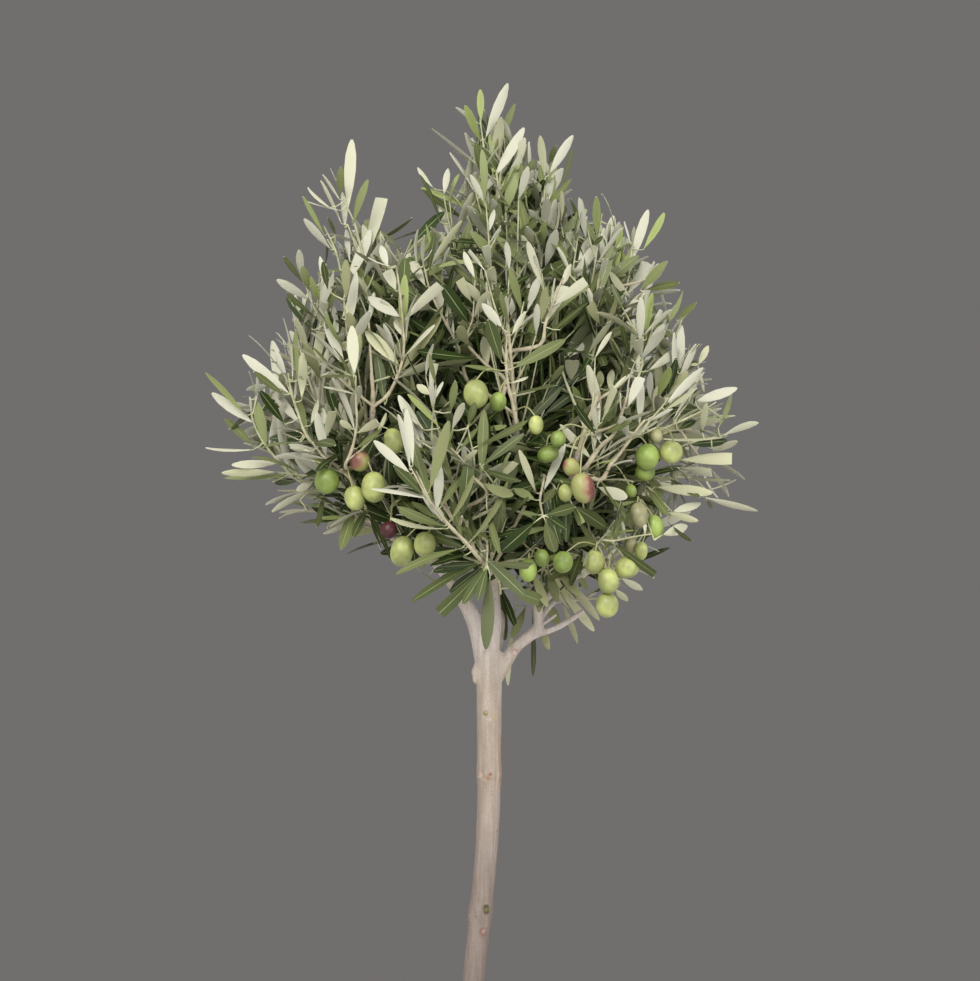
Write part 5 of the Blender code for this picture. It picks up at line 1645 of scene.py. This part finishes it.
def pot_radius(height):
    """The outside of the pot below its band."""
    return POT_FOOT_RADIUS + (POT_BODY_RADIUS - POT_FOOT_RADIUS) * height / (POT_HEIGHT - POT_RIM_BAND)


def rounded(corner_in, corner, corner_out, radius, steps=5):
    """Points of a rounded corner of a profile, between the directions to its neighbours."""
    corner, before, after = Vector(corner), Vector(corner_in), Vector(corner_out)
    start = corner + (before - corner).normalized() * radius
    end = corner + (after - corner).normalized() * radius
    found = []
    for i in range(steps + 1):
        t = i / steps
        point = start * (1 - t) ** 2 + corner * 2 * t * (1 - t) + end * t**2
        found.append((point.x, point.y))
    return found


def pot_profile():
    """(radius, height) round the section of the pot, with rounded edges."""
    band_foot = POT_HEIGHT - POT_RIM_BAND
    corners = [
        (POT_AXIS, 0.0),
        (POT_FOOT_RADIUS, 0.0),
        (POT_BODY_RADIUS, band_foot),
        (POT_RIM_RADIUS, band_foot),
        (POT_RIM_RADIUS, POT_HEIGHT),
        (pot_radius(POT_HEIGHT) - POT_WALL, POT_HEIGHT),
        (pot_radius(POT_FLOOR) - POT_WALL, POT_FLOOR),
        (POT_AXIS, POT_FLOOR),
    ]
    profile = [corners[0]]
    for before, corner, after in zip(corners, corners[1:], corners[2:]):
        profile += rounded(before, corner, after, POT_EDGE)
    return profile + [corners[-1]]


def subdivided(profile, step):
    """The same profile with a point at least every step."""
    found = [profile[0]]
    for (r0, z0), (r1, z1) in zip(profile, profile[1:]):
        count = max(1, math.ceil(math.hypot(r1 - r0, z1 - z0) / step))
        found += [(r0 + (r1 - r0) * i / count, z0 + (z1 - z0) * i / count) for i in range(1, count + 1)]
    return found


def pot_mesh():
    """The pot, with faint throwing rings on its wall."""
    profile = []
    for radius, height in subdivided(pot_profile(), POT_STEP):
        ring = noise.noise(Vector((0.0, 0.0, height * THROW_SCALE))) * THROW_HEIGHT
        inset = POT_INSET if radius > POT_INSET_FROM else 0.0
        profile.append((radius - inset + (ring if THROW_FROM < height < THROW_TO else 0.0), height))
    return turned_mesh("pot_clay", profile, POT_SIDES)


SOIL_RINGS, SOIL_SIDES = 30, 72
SOIL_MIDDLE = 0.002  # radius of the innermost ring
SOIL_DEPTH = 0.012
# Millimetres: height of its coarse and fine lumps, how low its edge dips, how far it has settled
SOIL_COARSE, SOIL_FINE, SOIL_DIP, SOIL_SETTLED = 2.5, 1.2, -2.0, -1.5
SOIL_COARSE_SCALE, SOIL_FINE_SCALE, SOIL_FINE_LAYER = 45, 160, 3.0
SOIL_FLAT, SOIL_DIP_OVER = 0.8, 0.2  # of its radius: where it starts to dip, and over how much
CHIPS, CHIPS_OUT, CHIPS_IN = 900, 0.96, 0.022  # number, share of the radius, clear of the trunk
CHIP_SLOTS = (0, 1, 1, 2)
CHIP_SIZES = (1.2, 4.2)
CHIP_LENGTHS, CHIP_THICKNESSES = (1.0, 2.2), (0.35, 0.8)  # of its size
CHIP_TILT, CHIP_ROUGH = 0.5, 0.3
CHIP_FACES = ((0, 1, 3, 2), (4, 6, 7, 5), (0, 4, 5, 1), (2, 3, 7, 6), (0, 2, 6, 4), (1, 5, 7, 3))


def soil_lump(x, y):
    """The coarse lumps of the soil, in millimetres."""
    return noise.noise(Vector((x, y, 0.0)) * SOIL_COARSE_SCALE) * SOIL_COARSE


def soil_mesh():
    """A lumpy surface of compost with crumbs of bark on it."""
    rng = random.Random(SOIL_SEED)
    outer = pot_radius(SOIL_LEVEL) - POT_WALL - GAP
    points, faces = [], []
    for ring in range(SOIL_RINGS + 1):
        radius = SOIL_MIDDLE + (outer - SOIL_MIDDLE) * ring / SOIL_RINGS
        dip = SOIL_DIP * smoothstep((radius - outer * SOIL_FLAT) / (outer * SOIL_DIP_OVER))
        for x, y, _ in turned_points(((radius, 0.0),), SOIL_SIDES):
            fine = noise.noise(Vector((x, y, SOIL_FINE_LAYER)) * SOIL_FINE_SCALE) * SOIL_FINE
            bump = soil_lump(x, y) + fine
            points.append(Vector((x, y, SOIL_LEVEL + (bump + dip + SOIL_SETTLED) * MM)))
    for ring in range(SOIL_RINGS):
        faces += band(ring * SOIL_SIDES, SOIL_SIDES, inward=True)
    faces.append(tuple(range(SOIL_SIDES)))
    base = len(points)
    points += [Vector((point.x, point.y, SOIL_LEVEL - SOIL_DEPTH)) for point in points[-SOIL_SIDES:]]
    faces += band(base - SOIL_SIDES, SOIL_SIDES, inward=True)
    faces.append(tuple(base + side for side in reversed(range(SOIL_SIDES))))
    slots = [0] * len(faces)
    for _ in range(CHIPS):
        radius, angle = outer * CHIPS_OUT * math.sqrt(rng.random()), rng.uniform(0, math.tau)
        x, y = radius * math.cos(angle), radius * math.sin(angle)
        if math.hypot(x, y) < CHIPS_IN:
            continue
        height = SOIL_LEVEL + (soil_lump(x, y) + SOIL_SETTLED) * MM
        chip(points, faces, Vector((x, y, height)), rng)
        slots += [rng.choice(CHIP_SLOTS)] * (len(faces) - len(slots))
    return mesh_from("soil_surface", points, faces, slots)


def chip(points, faces, centre, rng):
    """A crumb of bark: a rough box with random proportions and turn."""
    size = rng.uniform(*CHIP_SIZES) * MM
    sizes = size * rng.uniform(*CHIP_LENGTHS), size, size * rng.uniform(*CHIP_THICKNESSES)
    turn, tilt = rng.uniform(0, math.tau), rng.uniform(-CHIP_TILT, CHIP_TILT)
    along = Vector((math.cos(turn), math.sin(turn), tilt)).normalized()
    ways = (along, *across(along))
    base = len(points)
    for signs in itertools.product((-1, 1), repeat=3):
        jitter = 1 + rng.uniform(-CHIP_ROUGH, CHIP_ROUGH)
        a, b, c = (way * sign * extent for way, sign, extent in zip(ways, signs, sizes))
        points.append(centre + (a + b + c) / 2 * jitter)
    for face in CHIP_FACES:
        faces.append(tuple(base + i for i in face))


# ------------------------------------------------------------------ materials


CLAY_TONE = (0.46, 0.19, 0.10)
CLAY_STOPS = ((0.30, (0.37, 0.14, 0.075)), (0.55, (0.47, 0.20, 0.11)), (0.75, (0.55, 0.30, 0.20)))
SOIL_TONES = ((0.040, 0.027, 0.018), (0.085, 0.052, 0.030), (0.150, 0.100, 0.062))
TWIG_TONES = {"twig_wood": (0.455, 0.405, 0.280), "twig_green": (0.40, 0.40, 0.25)}
STALK_TONE = (0.33, 0.33, 0.15)
SPECKLE_PLACES = (0.3, 0.5, 0.7)  # on the ramp, of a tone's darker shade, itself and its lighter shade
BARK_RAMP = (0.34, 0.66)
MARK_EDGE, MARK_CORE = 1.25, 0.7  # of a mark's radius: where it starts, and where it is full
WARP_SCALE = 330.0
MIX_SHARE, MIX_FIRST, MIX_SECOND, MIX_RESULT = 0, 6, 7, 2  # sockets of a node that mixes colours


def new_material(name, colour, roughness, specular=0.5):
    """A plain material."""
    made = bpy.data.materials.new(name)
    made.use_nodes = True
    shader = made.node_tree.nodes["Principled BSDF"]
    shader.inputs["Base Color"].default_value = (*colour, 1.0)
    shader.inputs["Roughness"].default_value = roughness
    shader.inputs["Specular IOR Level"].default_value = specular
    return made


def add_node(made, kind, **values):
    """A node with its settings and inputs, an underscore standing for a space."""
    node = made.node_tree.nodes.new(kind)
    for key, value in values.items():
        if hasattr(node, key):
            setattr(node, key, value)
        else:
            node.inputs[key.replace("_", " ")].default_value = value
    return node


def link(made, source, out, target, into):
    """Joins a node's output to another's input."""
    made.node_tree.links.new(source.outputs[out], target.inputs[into])


def painted(made, colour):
    """Makes a node's output the base colour, and returns it."""
    shader = made.node_tree.nodes["Principled BSDF"]
    made.node_tree.links.new(colour, shader.inputs["Base Color"])
    return colour


def noise_bump(made, scale, strength, distance, stretch=(1.0, 1.0, 1.0)):
    """Fine relief from a noise in object space."""
    where = add_node(made, "ShaderNodeTexCoord")
    mapped = add_node(made, "ShaderNodeMapping", Scale=stretch)
    grain = add_node(made, "ShaderNodeTexNoise", Scale=scale, Detail=4.0)
    bump = add_node(made, "ShaderNodeBump", Strength=strength, Distance=distance)
    link(made, where, "Object", mapped, "Vector")
    link(made, mapped, "Vector", grain, "Vector")
    link(made, grain, "Fac", bump, "Height")
    link(made, bump, "Normal", made.node_tree.nodes["Principled BSDF"], "Normal")
    return mapped


def ramped(made, value, stops):
    """A ramp of (place, colour) on a node's output."""
    ramp = add_node(made, "ShaderNodeValToRGB")
    made.node_tree.links.new(value, ramp.inputs["Fac"])
    while len(ramp.color_ramp.elements) < len(stops):
        ramp.color_ramp.elements.new(0.5)
    for element, (place, colour) in zip(ramp.color_ramp.elements, stops):
        element.position = place
        element.color = (*colour, 1.0)
    return ramp.outputs["Color"]


def mottled(made, mapped, stops, scale, detail=6.0):
    """Base colour from a noise through a ramp of (place, colour)."""
    patches = add_node(made, "ShaderNodeTexNoise", Scale=scale, Detail=detail, Roughness=0.62)
    link(made, mapped, "Vector", patches, "Vector")
    return painted(made, ramped(made, patches.outputs["Fac"], stops))


def speckled(made, mapped, tone, darker, lighter, scale, detail=6.0, places=SPECKLE_PLACES):
    """Base colour between a darker and a lighter shade of a tone."""
    shades = [tuple(share * c for c in tone) for share in (darker, 1.0, lighter)]
    return mottled(made, mapped, list(zip(places, shades)), scale, detail)


def mixed(made, factor, first, second, blend="MIX"):
    """A colour between or from two, each a colour or a node's output."""
    mix = made.node_tree.nodes.new("ShaderNodeMix")
    mix.data_type = "RGBA"
    mix.blend_type = blend
    for place, value in ((MIX_SHARE, factor), (MIX_FIRST, first), (MIX_SECOND, second)):
        if isinstance(value, bpy.types.NodeSocket):
            made.node_tree.links.new(value, mix.inputs[place])
        else:
            mix.inputs[place].default_value = value if place == MIX_SHARE else (*value, 1.0)
    return mix.outputs[MIX_RESULT]


def pattern(made, where, scale, detail, stretch):
    """A noise in object space, drawn out along Z by a stretch below 1."""
    mapped = add_node(made, "ShaderNodeMapping", Scale=(1.0, 1.0, stretch))
    found = add_node(made, "ShaderNodeTexNoise", Scale=scale, Detail=detail, Roughness=0.6)
    link(made, where, "Object", mapped, "Vector")
    link(made, mapped, "Vector", found, "Vector")
    return found.outputs["Fac"]


def leaf_materials():
    """The leaves' slots: upper sides, undersides, ribs and stalks, the darker ones partly painted shade."""
    made = []
    for i, tone in enumerate(UPPER_TONES_AND_SHADE):
        made.append(new_material(f"leaf_upper_with_shade_{i}", tone, roughness=0.48, specular=0.35))
    for i, tone in enumerate(UNDER_TONES_AND_SHADE):
        made.append(new_material(f"leaf_under_with_shade_{i}", tone, roughness=0.85, specular=0.15))
    return made + [new_material("leaf_rib", RIB_TONE, roughness=0.55, specular=0.4)]


def bark_material(lines):
    """Grey-tan bark with painted shade, darker towards the foot and on the limbs above the fork, with
    streaks, mottling and the marks' own tints.
    """
    made = new_material("bark", BARK_SHADED_TONES[-1][1], roughness=0.82, specular=0.25)
    noise_bump(made, scale=900.0, strength=0.45, distance=0.0007, stretch=(1.0, 1.0, 0.30))
    where = add_node(made, "ShaderNodeTexCoord")
    parts = add_node(made, "ShaderNodeSeparateXYZ")
    link(made, where, "Object", parts, "Vector")
    # painted shade by height: the base colour darkens towards the foot and on the limbs above the fork
    colour = ramped(made, parts.outputs["Z"], BARK_SHADED_TONES)
    for scale, detail, stretch, *shades in BARK_PATTERNS:
        shade = ramped(made, pattern(made, where, scale, detail, stretch), list(zip(BARK_RAMP, shades)))
        colour = mixed(made, 1.0, colour, shade, "MULTIPLY")
    rough = add_node(made, "ShaderNodeTexNoise", Scale=WARP_SCALE, Detail=2.0)
    link(made, where, "Object", rough, "Vector")
    warped = add_node(made, "ShaderNodeVectorMath", operation="MULTIPLY_ADD")
    link(made, rough, "Color", warped, 0)
    warped.inputs[1].default_value = [BARK_MARK_WARP] * 3
    link(made, where, "Object", warped, 2)
    for across_, down, radius, tint, strength in BARK_MARKS:
        away = add_node(made, "ShaderNodeVectorMath", operation="DISTANCE")
        centre = on_bark(across_, down, lines)
        away.inputs[1].default_value = centre + Vector((1.0, 1.0, 1.0)) * BARK_MARK_WARP / 2
        link(made, warped, "Vector", away, 0)
        near = add_node(made, "ShaderNodeMapRange", To_Max=strength)
        near.inputs["From Min"].default_value = radius * MM * MARK_EDGE
        near.inputs["From Max"].default_value = radius * MM * MARK_CORE
        link(made, away, "Value", near, "Value")
        colour = mixed(made, near.outputs["Result"], colour, tint)
    painted(made, colour)
    return made


def clay_material():
    """Unglazed clay with paler patches."""
    made = new_material("clay", CLAY_TONE, roughness=0.88, specular=0.25)
    mapped = noise_bump(made, scale=700.0, strength=0.30, distance=0.0008)
    mottled(made, mapped, CLAY_STOPS, scale=12.0)
    return made


def soil_materials():
    """Compost and two kinds of bark chips."""
    found = []
    for i, tone in enumerate(SOIL_TONES):
        made = new_material(f"soil_{i}", tone, roughness=0.95, specular=0.2)
        mapped = noise_bump(made, scale=600.0, strength=0.5, distance=0.001)
        speckled(made, mapped, tone, darker=0.6, lighter=1.5, scale=250.0)
        found.append(made)
    return found


def flushed(made):
    """The colour of an olive that has turned red on its right side."""
    where = add_node(made, "ShaderNodeTexCoord")
    normal = add_node(made, "ShaderNodeSeparateXYZ")
    link(made, where, "Normal", normal, "Vector")
    turned = add_node(made, "ShaderNodeMath", operation="MULTIPLY_ADD")
    link(made, normal, "X", turned, 0)
    turned.inputs[1].default_value = FLUSH_SHARE
    patches = pattern(made, where, scale=60.0, detail=2.0, stretch=1.0)
    made.node_tree.links.new(patches, turned.inputs[2])
    return ramped(made, turned.outputs[0], FLUSH_STOPS)


def fruit_materials():
    """A skin for each tint, with pale dots on all but the ripest, and the stalks' green."""
    found = []
    for tint, colour in FRUIT_TINTS.items():
        made = new_material(f"olive_{tint}", colour, roughness=0.42, specular=0.45)
        mapped = noise_bump(made, scale=300.0, strength=0.10, distance=0.0006)
        if tint == "flushed":
            skin = flushed(made)
        elif tint == "blush":
            skin = mottled(made, mapped, BLUSH_STOPS, scale=34.0, detail=2.0)
        else:
            shades = {"darker": 0.72, "lighter": 1.4, "places": SKIN_PLACES}
            skin = speckled(made, mapped, colour, scale=55.0, detail=2.0, **shades)
        most = 0.0 if tint == "dark" else FRUIT_DOTS
        where = add_node(made, "ShaderNodeTexCoord")
        grain = pattern(made, where, scale=1100.0, detail=1.0, stretch=1.0)
        dots = ramped(made, grain, list(zip(DOT_PLACES, ((0.0,) * 3, (most,) * 3))))
        painted(made, mixed(made, dots, skin, FRUIT_DOT_TONE))
        found.append(made)
    return found + [new_material("olive_stalk", STALK_TONE, roughness=0.6)]


def twig_materials():
    """Brown wood and the green of the youngest twigs."""
    found = []
    for name, tone in TWIG_TONES.items():
        made = new_material(name, tone, roughness=0.75, specular=0.3)
        mapped = noise_bump(made, scale=1200.0, strength=0.3, distance=0.0004)
        speckled(made, mapped, tone, darker=0.7, lighter=1.3, scale=120.0)
        found.append(made)
    return found


# ------------------------------------------------------------------ stage


FLOOR_RADIUS, FLOOR_SIDES = 1.30, 96
FLOOR_TOP, FLOOR_UNDERSIDE = -0.0005, -0.004
FLOOR_TONE = (0.55, 0.54, 0.52)
WORLD_SEEN, WORLD_LIGHT = (0.165, 0.158, 0.155, 1.0), (1.0, 0.985, 0.96, 1.0)
WORLD_STRENGTH = 0.62
LIGHTS_AIM = Vector((0.02, 0.0, 0.85))
# Soft studio lights: place, size, power, colour
LIGHTS = {
    "key": ((-1.2, -3.6, 3.2), 2.6, 184.0, (1.0, 0.985, 0.96)),
    "fill": ((2.2, -3.2, 1.5), 2.4, 74.0, (1.0, 1.0, 1.0)),
    "rim": ((0.6, 2.6, 2.6), 2.0, 34.0, (1.0, 1.0, 1.0)),
}


def make_floor():
    """A plain pale disc under the pot."""
    points = turned_points(((FLOOR_RADIUS, FLOOR_TOP), (FLOOR_RADIUS, FLOOR_UNDERSIDE)), FLOOR_SIDES)
    faces = [tuple(range(FLOOR_SIDES)), tuple(reversed(range(FLOOR_SIDES, 2 * FLOOR_SIDES)))]
    faces += band(0, FLOOR_SIDES, inward=True)
    made = new_material("floor", FLOOR_TONE, roughness=0.9, specular=0.2)
    mesh_object("floor", mesh_from("floor", points, faces), [made])


def make_world():
    """Soft light all round, and a darker grey where the camera looks past the tree."""
    world = bpy.data.worlds.new("studio")
    bpy.context.scene.world = world
    world.use_nodes = True
    world.node_tree.nodes.clear()
    seen = add_node(world, "ShaderNodeBackground", Color=WORLD_SEEN)
    soft = add_node(world, "ShaderNodeBackground", Color=WORLD_LIGHT, Strength=WORLD_STRENGTH)
    path = add_node(world, "ShaderNodeLightPath")
    mix = add_node(world, "ShaderNodeMixShader")
    link(world, path, "Is Camera Ray", mix, "Fac")
    link(world, soft, "Background", mix, 1)
    link(world, seen, "Background", mix, 2)
    link(world, mix, "Shader", add_node(world, "ShaderNodeOutputWorld"), "Surface")


def make_light(name, place, size, power, colour):
    """A soft square light that looks at the head."""
    data = bpy.data.lights.new(name, "AREA")
    data.size = size
    data.energy = power
    data.color = colour
    lamp = bpy.data.objects.new(name, data)
    lamp.location = place
    lamp.rotation_euler = (LIGHTS_AIM - Vector(place)).to_track_quat("-Z", "Y").to_euler()
    bpy.context.scene.collection.objects.link(lamp)


def make_camera():
    """The camera at the photograph's angle."""
    data = bpy.data.cameras.new("camera")
    data.sensor_width = SENSOR
    data.lens = SENSOR * -CAMERA_PLACE[1] / VIEW_WIDTH
    data.clip_end = CAMERA_REACH
    camera = bpy.data.objects.new("camera", data)
    camera.location = CAMERA_PLACE
    camera.rotation_euler = (math.pi / 2, 0.0, 0.0)
    bpy.context.scene.collection.objects.link(camera)
    bpy.context.scene.camera = camera


def make_stage():
    """Floor, world, lights and camera."""
    make_floor()
    make_world()
    for name, light in LIGHTS.items():
        make_light(name, *light)
    bpy.context.scene.view_settings.view_transform = "Standard"
    make_camera()


# ------------------------------------------------------------------ main


def dress(name, mesh, materials, slot, *replaced, smooth):
    """Adds a piece of the tree that stands in for the solids of those names."""
    piece = mesh_object(name, mesh, materials, smooth)
    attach(piece, "root")
    if replaced:
        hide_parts(*replaced)


def main():
    """Builds the stage and the tree round the solids of the frame."""
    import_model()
    cad_box = [list(corner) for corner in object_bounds()]
    Space.front, Space.back = cad_box[0][1] - FRONT_SPARE, cad_box[1][1] + FRONT_SPARE
    make_stage()
    lines = limb_lines()
    stems = {name: stem_line(name, lines) for name in MASSES}
    leaf_slots, twig_slots = leaf_materials(), twig_materials()
    leaders = leaders_by_mass(lines)
    all_twigs = []
    for name in MASSES:
        twigs, leaves = grow(name, lines, stems, leaders[name])
        all_twigs += twigs
        place = name.removeprefix("foliage")
        dress("leaves" + place, leaf_mesh(name + "_leaves", leaves), leaf_slots, "foliage", name, smooth=60)
        dress("twigs" + place, twig_mesh(name + "_twigs", twigs), twig_slots, "foliage", smooth=60)
    dress("olives", fruit_mesh(all_twigs), fruit_materials(), "foliage", smooth=50)
    dress("bark", bark_mesh(lines), [bark_material(lines)], "bark", "trunk", *LIMBS, smooth=180)
    dress("pot_clay", pot_mesh(), [clay_material()], "clay", "pot", smooth=50)
    dress("soil_surface", soil_mesh(), soil_materials(), "soil", "soil", smooth=30)


main()
